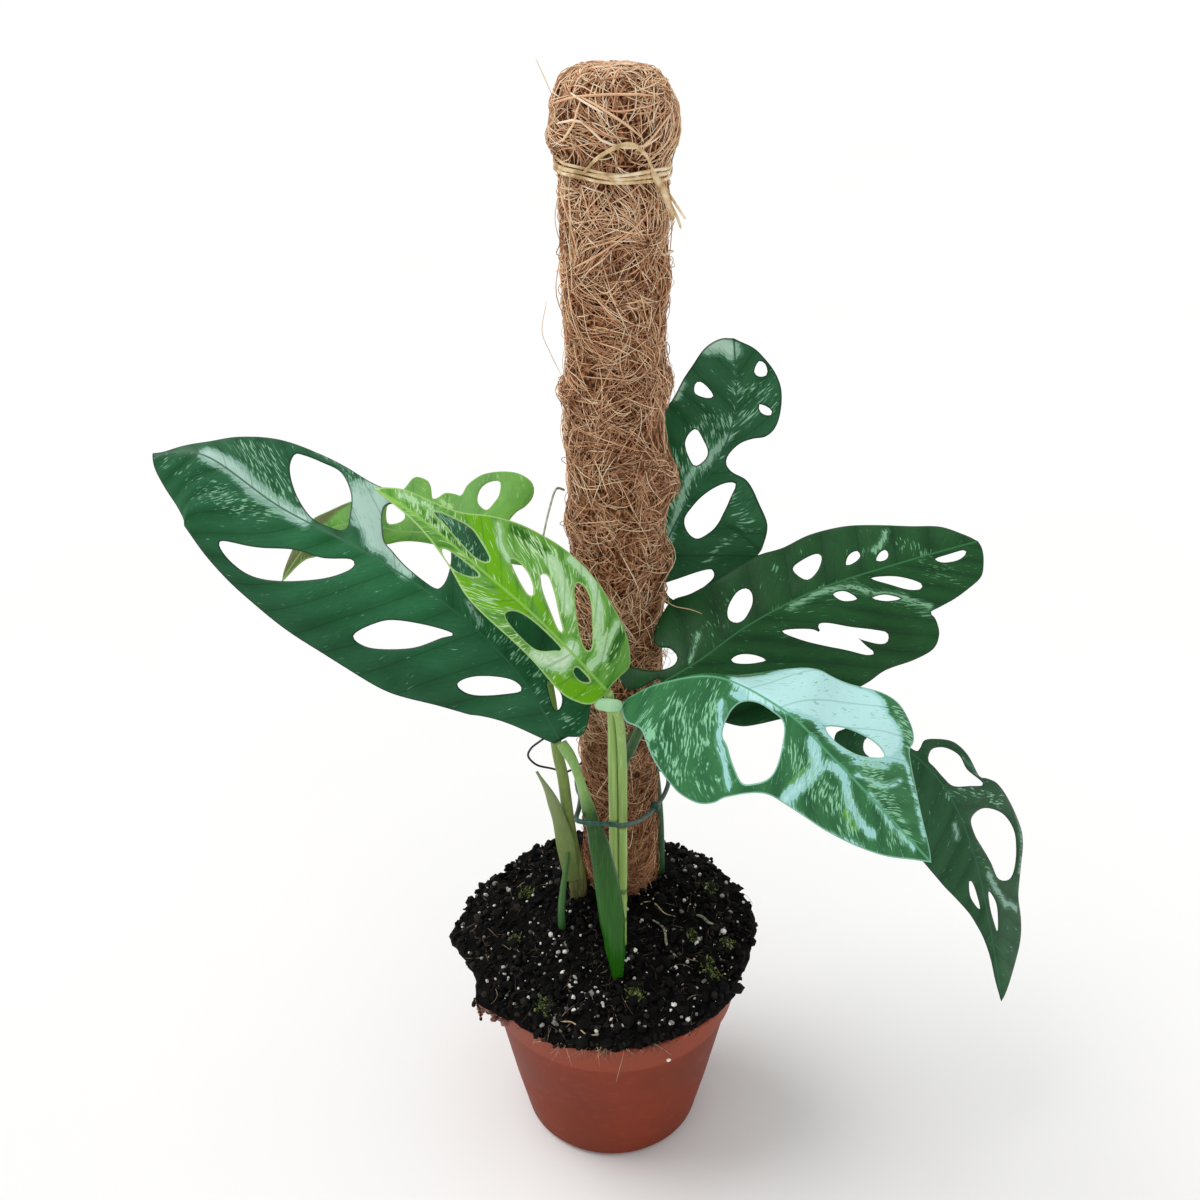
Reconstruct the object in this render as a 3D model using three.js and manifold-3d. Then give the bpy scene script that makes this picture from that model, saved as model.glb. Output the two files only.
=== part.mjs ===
// Potted Indonesian marble monstera: a variegated, window-leaved aroid on a coir pole.
// Millimetres, +Z up, the front of the plant towards -Y.
// The origin is the middle of the pot's underside.

import * as THREE from "three";
import { mergeVertices } from "three/addons/utils/BufferGeometryUtils.js";
import Module from "manifold-3d";

const wasm = await Module();
wasm.setup();

// Driving dimensions of the 12 cm nursery pot
const POT_RIM_R = 60;
const POT_BASE_R = 42.8;
const POT_HEIGHT = 95;
const POT_WALL = 1.4;
const POT_FLOOR = 1.8;
const RIM_BAND = 18;
const RIM_STEP = 1.6;
const BASE_ROUND = 4;
const DRAIN_R = 4;
const DRAIN_RING_R = 27;
const DRAIN_COUNT = 6;

// Gap kept between pieces that touch, and room round a stem in its hole
const GAP = 0.35;

// The peat mound, highest at the foot of the pole
const SOIL_CROWN = [2, 22, 120];
const SOIL_FALL = 0.0033;
const SOIL_EDGE_ROUND = 3;
const CLOD_HEIGHT = 0.7;
// Ragged lip of the mound over the rim: azimuth in degrees, radius
const SOIL_LIP = [
  [0, 66], [18, 70], [31, 67], [48, 70], [60, 67], [76, 70], [95, 71], [114, 72],
  [126, 72], [143, 68], [150, 74], [163, 73], [173, 77], [182, 71], [194, 65],
  [210, 68], [226, 62], [246, 63], [262, 61], [285, 60], [310, 60.5], [330, 63], [346, 61.5],
];

// The 40 cm coir pole: fibre wrapped on a wooden stick, leaning slightly to the left
const POLE_X = 3.4;
const POLE_Y = 28;
const POLE_LEAN = -0.012;
const POLE_LEAN_FROM = 170;
const COIR_BOTTOM = 62;
const COIR_TOP = 445;
const STICK_R = 6;
const STICK_BOTTOM = 8;
const STICK_TOP = 426;
// Height and radius of the wrapped coir, up to its folded head
const COIR_GIRTH = [
  [62, 15], [90, 15.8], [120, 16], [190, 15.8], [235, 16.9], [262, 17.4], [300, 17],
  [330, 17.4], [360, 16.9], [395, 17], [407, 17.4], [412, 17], [421, 17], [426, 19.2], [435, 19], [440, 16.8],
  [443.5, 12.5], [445, 8],
];
// Tufts that stand out: height, azimuth in degrees, how far, half of its reach along the pole
const COIR_TUFTS = [
  [424, 180, 1.8, 4], [346, 178, 3, 5], [296, 180, 2, 6], [311, 0, 5.6, 9], [281, 2, 4.2, 7],
  [348, 0, 3.4, 6], [385, 0, 1.8, 7], [330, 182, 1, 6], [428, 2, 1.4, 8], [268, 178, 1.2, 7],
];
const TUFT_SPREAD = 34;
const COIR_RELIEF = 0.45;

// Leaf blades
const BLADE_THICK = 0.8;
const MARGIN_STEP = 5.4;
const WINDOW_STEP = 4.5;
const INNER_STEP = 11.5;
const RIB_STEP = 8;
const PETIOLE_GAP = 1.1;

// Each blade is described flat. u runs along the midrib from the petiole to the tip and
// v goes across it, to the "plus" side on one hand and the "minus" side on the other.
// rib: the midrib in space. facing: where the upper face looks. Lift: how far each side
// rises from the rib, in degrees from base to tip. Curl: degrees per millimetre outwards.
// Evenness: how far the lines across a strongly arched midrib are turned parallel.
const LEAVES = {
  leaf_a_large_left: {
    colour: "#2b5a3d",
    rib: [
      [-20, -22, 228], [-34, -17, 253], [-56, -8, 274], [-90, 8, 291], [-125, 24, 303],
      [-155, 40, 317], [-179, 48, 315],
    ],
    facing: [-0.1, -0.62, 0.78],
    plusLift: [-14, -18, -22, -20],
    minusLift: [-20, -26, -28, -24],
    plusCurl: -0.25,
    minusCurl: -0.2,
    plusEdge: [
      [0, 2.5], [11, 11], [25, 22], [41, 31], [62, 39], [83, 42], [116, 42], [140, 38],
      [157, 34], [173, 29], [188, 26], [196, 18], [202, 7], [204, 0],
    ],
    minusEdge: [
      [0, 2.5], [-4, 9], [-1, 15], [6, 21], [16, 24.5], [29, 25.5], [40, 25], [48, 26.4], [57, 30.4],
      [66, 34.8], [76, 39], [87, 41.5], [108, 40.5],
      [124, 37], [142, 38], [154, 35.5], [167, 28.5], [177, 17], [184, 7], [194, 2], [204, 0],
    ],
    plusWindows: [
      [[157, 25], [146, 19], [132, 12], [119, 9.5], [108, 5], [107, 8.5], [117, 17], [139, 28], [150, 29]],
      [[94, 30], [88, 21], [80, 15], [60, 7], [62, 11], [70, 21], [85, 30]],
      [[44, 20], [41, 13], [31, 3.5], [25, 3.5], [32, 15], [38, 20]],
    ],
    minusWindows: [
      [[159, 26], [157, 29], [150, 32], [140, 33.5], [129, 26], [121, 14], [117, 5], [123, 2.5],
        [131, 3], [142, 9], [154, 18]],
      [[114, 27], [104, 11], [97, 7], [88, 4], [76, 3], [74, 6], [76, 13], [81, 22], [90, 32],
        [100, 35], [110, 34]],
      [[22, 8], [15, 10], [11, 7.5], [11, 4.5], [16, 5]],
    ],
  },
  leaf_b_young_front: {
    colour: "#86bd5c",
    rib: [
      [-2, -20, 249], [-15, -21, 266], [-29, -19, 281], [-45, -14, 294], [-66, -6, 310], [-85, 2, 320],
    ],
    facing: [0.12, -0.76, 0.64],
    plusLift: [20, 36, 36, 25],
    minusLift: [-10, -10, -12, -10],
    plusCurl: -0.1,
    minusCurl: -0.3,
    plusEdge: [
      [0, 2.5], [3, 9], [9, 13], [18, 16], [33, 16.5], [52, 17], [63, 15], [73, 10], [84, 6],
      [95, 3], [105, 1.2], [113, 0],
    ],
    minusEdge: [
      [0, 2.5], [-1, 8], [-2, 14], [2, 19], [8, 23], [19, 26], [34, 28.5], [47, 28.5], [57, 27],
      [67, 24], [76, 18.5], [84, 12], [92, 8.5], [103, 6], [109, 3], [113, 0],
    ],
    plusWindows: [
      [[80, 5], [75, 3], [65, 2.5], [66, 6], [71, 9], [77, 8]],
      [[49, 10], [47, 5], [40, 2.5], [26, 2], [28, 6], [34, 12], [43, 12.5]],
      [[17, 5.5], [16, 2.5], [9, 2.2], [9.5, 4], [13, 6]],
    ],
    minusWindows: [
      [[91, 5], [86, 7.5], [78, 9.5], [72, 8], [66, 5.5], [66, 3.5], [70, 2.2], [78, 2.8], [85, 4]],
      [[60, 10.5], [57, 12], [51, 10.5], [46, 6.5], [47, 4.5], [53, 6.5]],
      [[48, 13.5], [46, 15.5], [41, 12.5], [34, 7], [29, 3.5], [31, 2.8], [38, 6], [44, 9.5]],
      [[36, 20], [34, 22.5], [28, 20.5], [20, 12.5], [16, 7], [18, 5], [24, 8], [30, 13]],
    ],
  },
  leaf_c_behind_left: {
    colour: "#5b8f35",
    rib: [
      [-34.2, 30, 278.6], [-48.4, 38, 282.6], [-65.3, 47, 282], [-86.8, 55, 279.7], [-108.4, 62, 280.1],
      [-127.3, 66, 269.9], [-143.2, 68, 250.9],
    ],
    facing: [-0.15, -0.6, 0.78],
    evenness: 0.5,
    plusLift: [-6, -6],
    minusLift: [-8, -8],
    plusCurl: 0,
    minusCurl: 0,
    plusEdge: [
      [0, 2.4], [8, 5], [20, 6.7], [35, 6], [50, 4.2], [58, 4.6], [64, 6.8], [71, 8.5], [81, 7.8],
      [92, 8.4], [100, 8.6], [108, 5.6], [116, 3.4], [124, 1.6], [128.8, 0],
    ],
    minusEdge: [
      [0, 2.4], [4, 4.5], [9, 5.6], [13, 9.2], [12.3, 16.4], [10, 21.2], [8.9, 26], [9.6, 29.7],
      [11.4, 32.2], [14.6, 33.6], [18.7, 34], [24.7, 32.9], [30.4, 30.8], [33.7, 27.8], [36, 24],
      [36.9, 19], [39.7, 19.5], [44.1, 19.8], [46.5, 17.6], [49, 17], [51.4, 22.6], [54, 25.8],
      [59.3, 27.4], [62, 26], [63.8, 21], [66.4, 16.4], [70.8, 14.4], [78.4, 12.6], [84.3, 11],
      [93.5, 10], [105.1, 11.6], [111.7, 9.5], [117.7, 7], [124, 4], [128.8, 0],
    ],
    plusWindows: [],
    minusWindows: [
      [[23.1, 28.1], [27.1, 27.3], [29.6, 24.3], [30, 20.2], [28.7, 16.4], [25.6, 14], [23.3, 13.9],
        [22, 17.8], [21.3, 22]],
      [[68.4, 10.4], [65.3, 12], [60, 8.9], [58.9, 5.5], [62.6, 2.8], [66, 3]],
    ],
  },
  leaf_d_behind_pole: {
    colour: "#2c5c40",
    rib: [
      [17, 52, 257], [23, 53, 277], [31, 55, 293], [42, 58, 308], [48, 60, 328], [46, 62, 354],
    ],
    facing: [0, -0.8, 0.6],
    plusLift: [0, 0],
    minusLift: [0, 0],
    plusCurl: 0.1,
    minusCurl: -0.2,
    plusEdge: [
      [0, 2.5], [2, 10], [10, 18], [25, 24], [45, 27], [65, 27], [80, 25.5], [91, 21.5], [98, 16],
      [103, 11], [105.5, 5], [105, 0],
    ],
    minusEdge: [
      [0, 2.5], [-5, 6], [-6, 12], [-3, 19], [8, 26], [20, 32], [31, 35], [40, 35.5], [46, 34.5],
      [51, 31], [54, 23], [57, 14], [57, 7], [58.5, 3.5], [62, 2.8], [67, 5], [70, 9], [72, 14],
      [76, 17], [84, 17.5], [90, 15.5], [96, 11.5], [101, 7], [105, 0],
    ],
    plusWindows: [
      [[90, 16], [91, 14], [88, 11], [84, 9], [83.5, 12], [86, 16]],
      [[62, 15], [66, 13], [63, 9], [59, 5], [54, 5], [50.5, 7], [53, 12], [57, 14.5]],
    ],
    minusWindows: [
      [[92, 7], [95.5, 9], [94, 11.5], [90.5, 12], [90, 9]],
      [[81, 9], [80, 13], [78.5, 14.5], [78, 12], [79, 9.5]],
      [[31, 2.5], [40, 2.8], [48, 5], [52.5, 8], [53, 12], [49, 14.5], [41, 16], [33, 15.5],
        [27, 12.5], [26.5, 8], [28, 4.5]],
      [[2, 4.5], [5, 8], [9, 13], [14, 19], [14, 21.5], [8, 20], [3, 16], [0, 12], [-0.5, 8]],
    ],
  },
  leaf_e_large_right: {
    colour: "#2a5a3c",
    rib: [
      [19, -6, 244], [34, -2, 252], [53, 6, 263], [80, 16, 273], [115, 28, 279], [145, 38, 283],
    ],
    facing: [0.08, -0.62, 0.78],
    plusLift: [-10, -12, -12, -10],
    minusLift: [-12, -14, -16, -14],
    plusCurl: -0.1,
    minusCurl: -0.2,
    plusEdge: [
      [0, 2.4], [-8, 2.8], [-12.5, 5], [-13, 10], [-12, 15], [-7, 12.5], [-2, 7.5], [3, 4.5], [8, 4],
      [10.5, 6.5], [9.5, 11], [6, 14], [6, 19], [13, 25], [24, 28], [32, 25.5], [44, 24.5], [58, 25],
      [68, 23.5], [80, 25], [94, 24], [105, 20.5], [118, 15], [129, 11], [136, 5], [141, 0],
    ],
    minusEdge: [
      [0, 2.4], [3, 8], [6, 16], [12, 24], [19, 32], [31, 38], [45, 41], [60, 42], [78, 41],
      [89, 38.5], [102, 38], [111, 36], [115, 31], [115, 25], [113.5, 22], [118, 21], [125, 19.5],
      [132, 17], [138, 14], [140.5, 9], [141.5, 4], [141, 0],
    ],
    plusWindows: [
      [[16, 3.5], [20, 12], [22, 13], [20, 5]],
      [[38, 9], [42, 13], [48, 14], [49, 12], [46, 7], [41, 4.5], [37, 4.5]],
      [[67, 13], [72, 15], [78, 15.5], [79, 13], [75, 8], [70, 5.5], [67.5, 8]],
      [[86, 6], [89, 10], [93, 11], [93, 8], [89.5, 6]],
      [[98, 4], [101, 7], [104, 7.5], [103.5, 4.5], [101, 3]],
    ],
    minusWindows: [
      [[93, 2.5], [103, 4.5], [112, 9.5], [112, 12], [107, 11], [100, 7]],
      [[121, 2.4], [127, 2], [134, 2], [134, 3.8], [130, 5.2], [124, 4.6]],
      [[76, 3.8], [81, 4.2], [85, 8.5], [79, 7.5]],
      [[51, 8.5], [57, 10], [64, 12.5], [74, 16], [84, 20.5], [92, 25], [91, 28], [85, 31],
        [77, 28], [68, 22.5], [56, 13.5]],
      [[27, 7], [31, 7.5], [36, 11], [39, 15], [33, 13], [28, 9.5]],
    ],
  },
  leaf_f_front_right: {
    colour: "#4d8f6c",
    rib: [
      [4, -22, 246], [18, -26, 256], [39, -32, 262], [62, -44, 255], [78, -50, 241], [94, -54, 225],
      [120, -58, 197],
    ],
    facing: [0.1, -0.55, 0.83],
    evenness: 0.7,
    plusLift: [-74, -56, -22, -8, -4],
    minusLift: [-40, -45, -45, -45],
    plusCurl: -0.2,
    minusCurl: -0.1,
    plusEdge: [
      [0, 2.4], [3, 7], [10, 13], [22, 18.5], [36, 24], [50, 28], [60, 30], [70, 33], [85, 40],
      [97, 44.3], [106, 45.8], [113, 44.6], [119, 41], [122, 36], [121.7, 31], [124, 27.4],
      [130.4, 20.4], [138, 12], [146.6, 4.4], [151.5, 0],
    ],
    minusEdge: [
      [0, 2.4], [1, 5], [4, 10], [8.5, 13.4], [14, 18], [22, 30.5], [28, 38], [35, 44.4],
      [43.5, 48.8], [50.6, 50], [57, 49], [62, 45.5], [65, 41], [72, 34.8], [80, 28.5], [87, 26],
      [96, 24.2], [108, 21.9], [121.5, 17.4], [134, 11.5], [144.6, 4.2], [151.5, 0],
    ],
    plusWindows: [
      [[84.2, 8.6], [89, 14.3], [95.6, 18], [105.7, 20.6], [111.9, 19], [106.2, 13.4], [99.4, 9.2],
        [90, 6.9]],
    ],
    minusWindows: [
      [[51.2, 20.5], [49.8, 15.4], [50.1, 9.3], [52.4, 5.2], [57, 3], [63, 2.8], [69, 4], [73.3, 10.7],
        [76.6, 18.5], [76.6, 23.8], [73.4, 28.6], [68, 32.2], [61, 28.5], [55, 23.2]],
    ],
  },
  leaf_g_drooping_right: {
    colour: "#2b5b3f",
    rib: [
      [96, 2, 221], [121, 3, 207], [140, 1, 188], [155, -4, 160], [167, -11, 125], [179, -20, 82],
    ],
    facing: [0.35, -0.68, 0.65],
    plusLift: [-8, -8],
    minusLift: [-12, -16],
    plusCurl: -0.1,
    minusCurl: -0.2,
    plusEdge: [
      [0, 2.4], [-4, 6], [-2, 11], [8, 13], [20, 12], [30, 11], [36, 12.5], [42, 15.5], [52, 19.5],
      [62, 20.5], [67, 23], [75, 29.5], [87, 33.5], [99, 35], [106, 33], [114, 28], [126, 23],
      [138, 22], [147, 19], [156, 13], [163, 7], [170, 0],
    ],
    minusEdge: [
      [0, 2.4], [-4, 7], [0, 14], [10, 20], [25, 25], [45, 28], [62, 27], [76, 24], [87, 21],
      [99, 17], [109, 12.5], [118, 8.5], [126, 6], [134, 4], [145, 2.4], [158, 1.6], [170, 0],
    ],
    plusWindows: [
      [[40, 5], [41, 9], [47, 13], [54, 15.5], [61, 15.5], [64, 15], [61, 8], [55, 4], [48, 2.5]],
      [[76, 5], [76, 12], [80, 19], [88, 26.5], [97, 30], [105, 28], [113, 23], [115, 18],
        [110, 11], [100, 8.5], [90, 5.5], [83, 4]],
      [[112, 3.2], [118, 6], [124, 6.5], [134, 4], [126, 2.5], [118, 2.2]],
    ],
    minusWindows: [
      [[102, 5.5], [104, 4], [112, 3.2], [118, 3.2], [115, 5], [109, 6.5]],
      [[38, 6], [48, 12], [56, 19], [50, 21], [40, 16], [34, 9]],
    ],
  },
};

// Stalks rise from the soil to the blades: path, then half widths and half thicknesses
// taken evenly from foot to top. reference is the direction in which the width lies.
const STALKS = {
  petiole_a_sheathed: {
    leaf: "leaf_a_large_left",
    colour: "#3f8a2c",
    reference: [1, 0, 0],
    path: [
      [3.5, -27, 60], [2.2, -30, 115], [-1.2, -30, 154], [-4.8, -29, 180], [-8.3, -28, 195],
      [-11.3, -27, 208], [-15, -25, 220],
    ],
    halfWidth: [3.4, 3.8, 4.8, 4.6, 2.7, 2.2],
    halfThick: [2.4, 2.6, 2.8, 2.6, 2.1, 1.9],
  },
  petiole_b: {
    leaf: "leaf_b_young_front",
    colour: "#9cc072",
    reference: [1, 0, 0],
    path: [[1, -15, 60], [0.9, -16.5, 115], [0.7, -16, 169], [0.3, -16, 215], [0, -16.5, 235], [-0.8, -18, 243]],
    halfWidth: [1.65, 1.65, 1.65, 1.65],
    halfThick: [1.7, 1.7, 1.7, 1.7],
  },
  petiole_c_left: {
    leaf: "leaf_c_behind_left",
    colour: "#7d9a55",
    reference: [1, 0, 0],
    path: [
      [-14, 14, 60], [-15.3, 13, 113], [-15.8, 11, 136], [-18.4, 8, 161], [-20.4, 2.6, 192],
      [-22.5, 2.4, 207], [-24.7, 8.6, 227], [-27.6, 14, 243], [-29.4, 18.5, 254.5], [-29.4, 23.6, 266.5],
      [-30, 26.6, 274.4],
    ],
    halfWidth: [2.6, 3.4, 4.6, 2.8, 2.4, 2.2, 2, 1.5],
    halfThick: [2.3, 2.4, 2.4, 2.2, 2, 1.9, 1.9, 1.5],
  },
  petiole_d_behind_pole: {
    leaf: "leaf_d_behind_pole",
    colour: "#3d6b45",
    reference: [1, 0, 0],
    path: [
      [22.9, 30, 60], [22.9, 30, 114], [22.2, 33.5, 140], [20.6, 36.5, 160], [18.6, 40, 177],
      [16, 45, 206], [15, 49, 232], [15.6, 51, 249],
    ],
    halfWidth: [2.1, 2.1, 2.1, 2, 1.9],
    halfThick: [2.1, 2.1, 2.1, 2, 1.9],
  },
};

// The climbing stem behind the front stalks carries two more leaves
const STEM_PATH = [[3.4, 1, 60], [3.5, 1, 118], [3.4, 0.5, 165], [3.3, 0, 212]];
const STEM_R = 3.1;
const STEM_BRANCHES = [
  {
    leaf: "leaf_e_large_right",
    reference: [0, 1, 0],
    path: [[3.3, 0, 201], [8, -5, 214], [12.5, -8, 229], [15.5, -7.5, 240]],
    radius: [2.4, 2, 1.9],
  },
  {
    leaf: "leaf_g_drooping_right",
    reference: [0, 0, 1],
    path: [
      [3.3, 0, 208], [10, 0, 216.5], [20, -1, 222.5], [35, -2.5, 230], [54, -3, 235], [74, -0.5, 233],
      [87, 1.5, 226.5],
    ],
    radius: [2.4, 1.9, 1.8, 1.8],
  },
];

// Front right stalk and the thick knee that turns its blade outwards
const FRONT_STALK_PATH = [[4.8, -15, 60], [4.7, -16.5, 115], [4.5, -16, 169], [4, -17, 215], [2.8, -20, 236], [0.6, -23.2, 245]];
const FRONT_STALK_R = 1.65;
const KNEE_PATH = [[-4.4, -24.6, 246], [-1.5, -24.2, 245.4], [1, -23.2, 244.8], [2.2, -22.2, 244.6]];
const KNEE_R = 2.3;

// Dry sheath tip and old stalk beside the left petiole
const SHEATH_PATH = [[-18.2, 10, 131], [-20.6, 5, 158], [-25.4, 0, 184.4], [-30.9, -2, 199.2]];
const OLD_STALK_PATH = [[-21, -3, 60], [-22.6, -4, 115], [-21.8, 0, 133], [-18.6, 7, 156]];

// Ties and wires
const BAND_PATH = [
  [-14.2, -26, 193.6], [-12.4, -32, 196.5], [-6.5, -34.4, 197.6], [-0.5, -34, 196.6], [5.2, -27, 191],
  [11.7, -12, 182], [18, 4, 176], [23, 20, 171.5], [25.4, 34, 169], [23, 43.5, 168], [13, 49, 168],
  [0, 47.6, 169], [-10, 43, 170], [-15.4, 33, 172], [-15, 18, 176], [-13.4, 4, 182], [-13.6, -12, 188],
];
const BAND_R = 1;
const KNOT_CENTRE = [18.4, 5.5, 175.6];
const KNOT_R = [2.2, 3, 2.4];
const WIRE_PIN_PATH = [
  [-13.3, 22, 187], [-16, 14, 190], [-19.8, 7.5, 192.5], [-25, 5, 196], [-30.8, -1, 202],
  [-33.9, -5, 209], [-32.6, -6, 213.5], [-29.6, -6.5, 216.7], [-25.4, -6, 219.5], [-20.4, -4, 219.6],
  [-17, 4, 217.5], [-14.4, 15, 214.5], [-13.6, 22, 212.5],
];
const WIRE_PIN_R = 0.45;
const TWIST_PATH = [[-17.8, 26, 309], [-20.8, 20.4, 311.4], [-23.2, 14, 306.1], [-25.2, 9, 299], [-26.4, 7, 293.4]];
const TWIST_R = 0.8;

// Raffia binding under the pole's head, with a loose loop and two ends
const RAFFIA_Z = 416.5;
const RAFFIA_CLEAR = 1.75;
const RAFFIA_HALF_HEIGHT = 2;
const RAFFIA_HALF_THICK = 0.75;
const RAFFIA_LOOP = [
  [-9.3, 12, 417.2], [-3.7, 6.8, 423], [4.5, 5.4, 426.5], [10, 7, 423.7], [13.4, 14.2, 417],
  [17.6, 13.4, 412.2], [20.4, 8.4, 409], [23.1, 4, 406],
];
const RAFFIA_END = [[14.6, 15.8, 416], [18, 13, 409.5], [20.6, 11, 405.4], [22, 10, 402]];
const RAFFIA_STRAND_R = 0.7;

// Colours and finishes of the made pieces
const FINISH = {
  pot: ["#8a4436", 0.45],
  soil: ["#17120f", 0.95],
  stick: ["#b89468", 0.8],
  coir: ["#8d5f40", 0.95],
  stem: ["#6f9350", 0.55],
  knee: ["#a9c88c", 0.5],
  band: ["#2f5a4a", 0.5],
  wire: ["#1d1f1e", 0.5],
  twist: ["#6f7f5c", 0.6],
  raffia: ["#c2a77a", 0.8],
};
const LEAF_ROUGHNESS = 0.38;

const TAU = Math.PI * 2;
const point = (p) => new THREE.Vector3(p[0], p[1], p[2] ?? 0);
const radians = THREE.MathUtils.degToRad;

// Value of an evenly spaced list at t from 0 to 1, eased from one entry to the next
function along(list, t) {
  if (list.length === 1) return list[0];
  const x = THREE.MathUtils.clamp(t, 0, 1) * (list.length - 1);
  const i = Math.min(Math.floor(x), list.length - 2);
  return THREE.MathUtils.lerp(list[i], list[i + 1], THREE.MathUtils.smoothstep(x - i, 0, 1));
}

// Value of a list of [key, value] pairs, with the keys rising
function lookUp(table, key) {
  const i = table.findIndex((row) => row[0] > key);
  if (i === 0) return table[0][1];
  if (i < 0) return table[table.length - 1][1];
  const [a, b] = [table[i - 1], table[i]];
  return THREE.MathUtils.lerp(a[1], b[1], (key - a[0]) / (b[0] - a[0]));
}

function smoothCurve(points, closed = false) {
  return new THREE.CatmullRomCurve3(points.map(point), closed, "catmullrom");
}

function indexed(vertices, triangles) {
  const geometry = new THREE.BufferGeometry();
  const positions = new Float32Array(vertices.flatMap((v) => [v.x, v.y, v.z]));
  geometry.setAttribute("position", new THREE.BufferAttribute(positions, 3));
  geometry.setIndex(triangles.flat());
  return geometry;
}

// Skin over a row of rings, each with its points anticlockwise about the way the row runs.
// A row that is a loop joins its last ring to its first, and any other has its ends closed.
function skin(rings, loop = false) {
  const sides = rings[0].length;
  const vertices = rings.flat();
  const triangles = [];
  const at = (ring, side) => (ring % rings.length) * sides + (side % sides);
  const spans = loop ? rings.length : rings.length - 1;
  for (let i = 0; i < spans; i += 1) {
    for (let j = 0; j < sides; j += 1) {
      triangles.push([at(i, j), at(i, j + 1), at(i + 1, j + 1)]);
      triangles.push([at(i, j), at(i + 1, j + 1), at(i + 1, j)]);
    }
  }
  if (!loop) {
    const middle = (ring) => ring.reduce((sum, v) => sum.add(v), new THREE.Vector3()).divideScalar(sides);
    const first = vertices.push(middle(rings[0])) - 1;
    const last = vertices.push(middle(rings[rings.length - 1])) - 1;
    for (let j = 0; j < sides; j += 1) {
      triangles.push([first, at(0, j + 1), at(0, j)]);
      triangles.push([last, at(rings.length - 1, j), at(rings.length - 1, j + 1)]);
    }
  }
  return indexed(vertices, triangles);
}

// Oval rod along a path. grow widens and lengthens it all round, for the hole it stands in.
function rod({ path, halfWidth, halfThick, reference, sides = 8, step = 11, loop = false, grow = 0 }) {
  const curve = smoothCurve(path, loop);
  const count = Math.max(3, Math.round(curve.getLength() / step));
  const rings = [];
  for (let i = 0; i < (loop ? count : count + 1); i += 1) {
    const t = i / count;
    const tangent = curve.getTangentAt(t);
    const centre = curve.getPointAt(t);
    if (!loop && i === 0) centre.addScaledVector(tangent, -grow);
    if (!loop && i === count) centre.addScaledVector(tangent, grow);
    const across = point(reference).addScaledVector(tangent, -tangent.dot(point(reference))).normalize();
    const other = tangent.clone().cross(across);
    const w = along(halfWidth, t) + grow;
    const h = along(halfThick, t) + grow;
    rings.push(Array.from({ length: sides }, (_, k) => centre.clone()
      .addScaledVector(across, w * Math.cos((k / sides) * TAU))
      .addScaledVector(other, h * Math.sin((k / sides) * TAU))));
  }
  return skin(rings, loop);
}

function solidOf(geometry) {
  const bare = geometry.clone();
  bare.deleteAttribute("normal");
  bare.deleteAttribute("uv");
  const merged = mergeVertices(bare, 1e-4);
  return new wasm.Manifold(new wasm.Mesh({
    numProp: 3,
    vertProperties: new Float32Array(merged.attributes.position.array),
    triVerts: new Uint32Array(merged.index.array),
  }));
}

function geometryOf(solid) {
  const mesh = solid.getMesh();
  const geometry = new THREE.BufferGeometry();
  geometry.setAttribute("position", new THREE.BufferAttribute(new Float32Array(mesh.vertProperties), 3));
  geometry.setIndex(new THREE.BufferAttribute(new Uint32Array(mesh.triVerts), 1));
  return geometry;
}

const fused = (geometries) => geometryOf(geometries.map(solidOf).reduce((a, b) => a.add(b)));
const cutBy = (body, tools) => geometryOf(tools.map(solidOf).reduce((a, b) => a.subtract(b), solidOf(body)));

function named(name, geometry, colour, roughness) {
  const material = new THREE.MeshStandardMaterial({ color: colour, roughness, metalness: 0 });
  const mesh = new THREE.Mesh(geometry, material);
  mesh.name = name;
  return mesh;
}

// The blade's middle surface: gives the place in space of a flat point (u, v)
function bladeSurface(leaf) {
  const rib = smoothCurve(leaf.rib);
  const length = rib.getLength();
  const facing = point(leaf.facing).normalize();
  const chord = rib.getPoint(1).sub(rib.getPoint(0)).normalize();
  return (u, v) => {
    const t = THREE.MathUtils.clamp(u / length, 0, 1);
    const tangent = rib.getTangentAt(t);
    const place = rib.getPointAt(t).addScaledVector(tangent, u - t * length);
    const course = tangent.lerp(chord, leaf.evenness ?? 0).normalize();
    const across = facing.clone().cross(course).normalize();
    const out = course.clone().cross(across);
    const lift = radians(along(v >= 0 ? leaf.plusLift : leaf.minusLift, t));
    const curl = radians(v >= 0 ? leaf.plusCurl : leaf.minusCurl) || 1e-6;
    const end = lift + curl * Math.abs(v);
    place.addScaledVector(across, (Math.sign(v) * (Math.sin(end) - Math.sin(lift))) / curl);
    return place.addScaledVector(out, (Math.cos(lift) - Math.cos(end)) / curl);
  };
}

function spaced(points, step, closed) {
  const curve = smoothCurve(points, closed);
  const count = Math.max(closed ? 6 : 3, Math.round(curve.getLength() / step));
  return curve.getSpacedPoints(count).slice(0, count).map((p) => [p.x, p.y]);
}

// The blade's margin and windows as flat closed loops
function bladeLoops(leaf) {
  const minus = leaf.minusEdge.map(([u, v]) => [u, -v]).reverse();
  const margin = [...spaced(leaf.plusEdge, MARGIN_STEP, false), ...spaced(minus, MARGIN_STEP, false), minus.at(-1)];
  const windows = [
    ...leaf.plusWindows,
    ...leaf.minusWindows.map((ring) => ring.map(([u, v]) => [u, -v])),
  ];
  return [margin, ...windows.map((ring) => spaced(ring, WINDOW_STEP, true))];
}

function inside(loop, [x, y]) {
  let within = false;
  for (let i = 0, j = loop.length - 1; i < loop.length; j = i, i += 1) {
    const [xi, yi] = loop[i];
    const [xj, yj] = loop[j];
    if (yi > y !== yj > y && x < ((xj - xi) * (y - yi)) / (yj - yi) + xi) within = !within;
  }
  return within;
}

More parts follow.
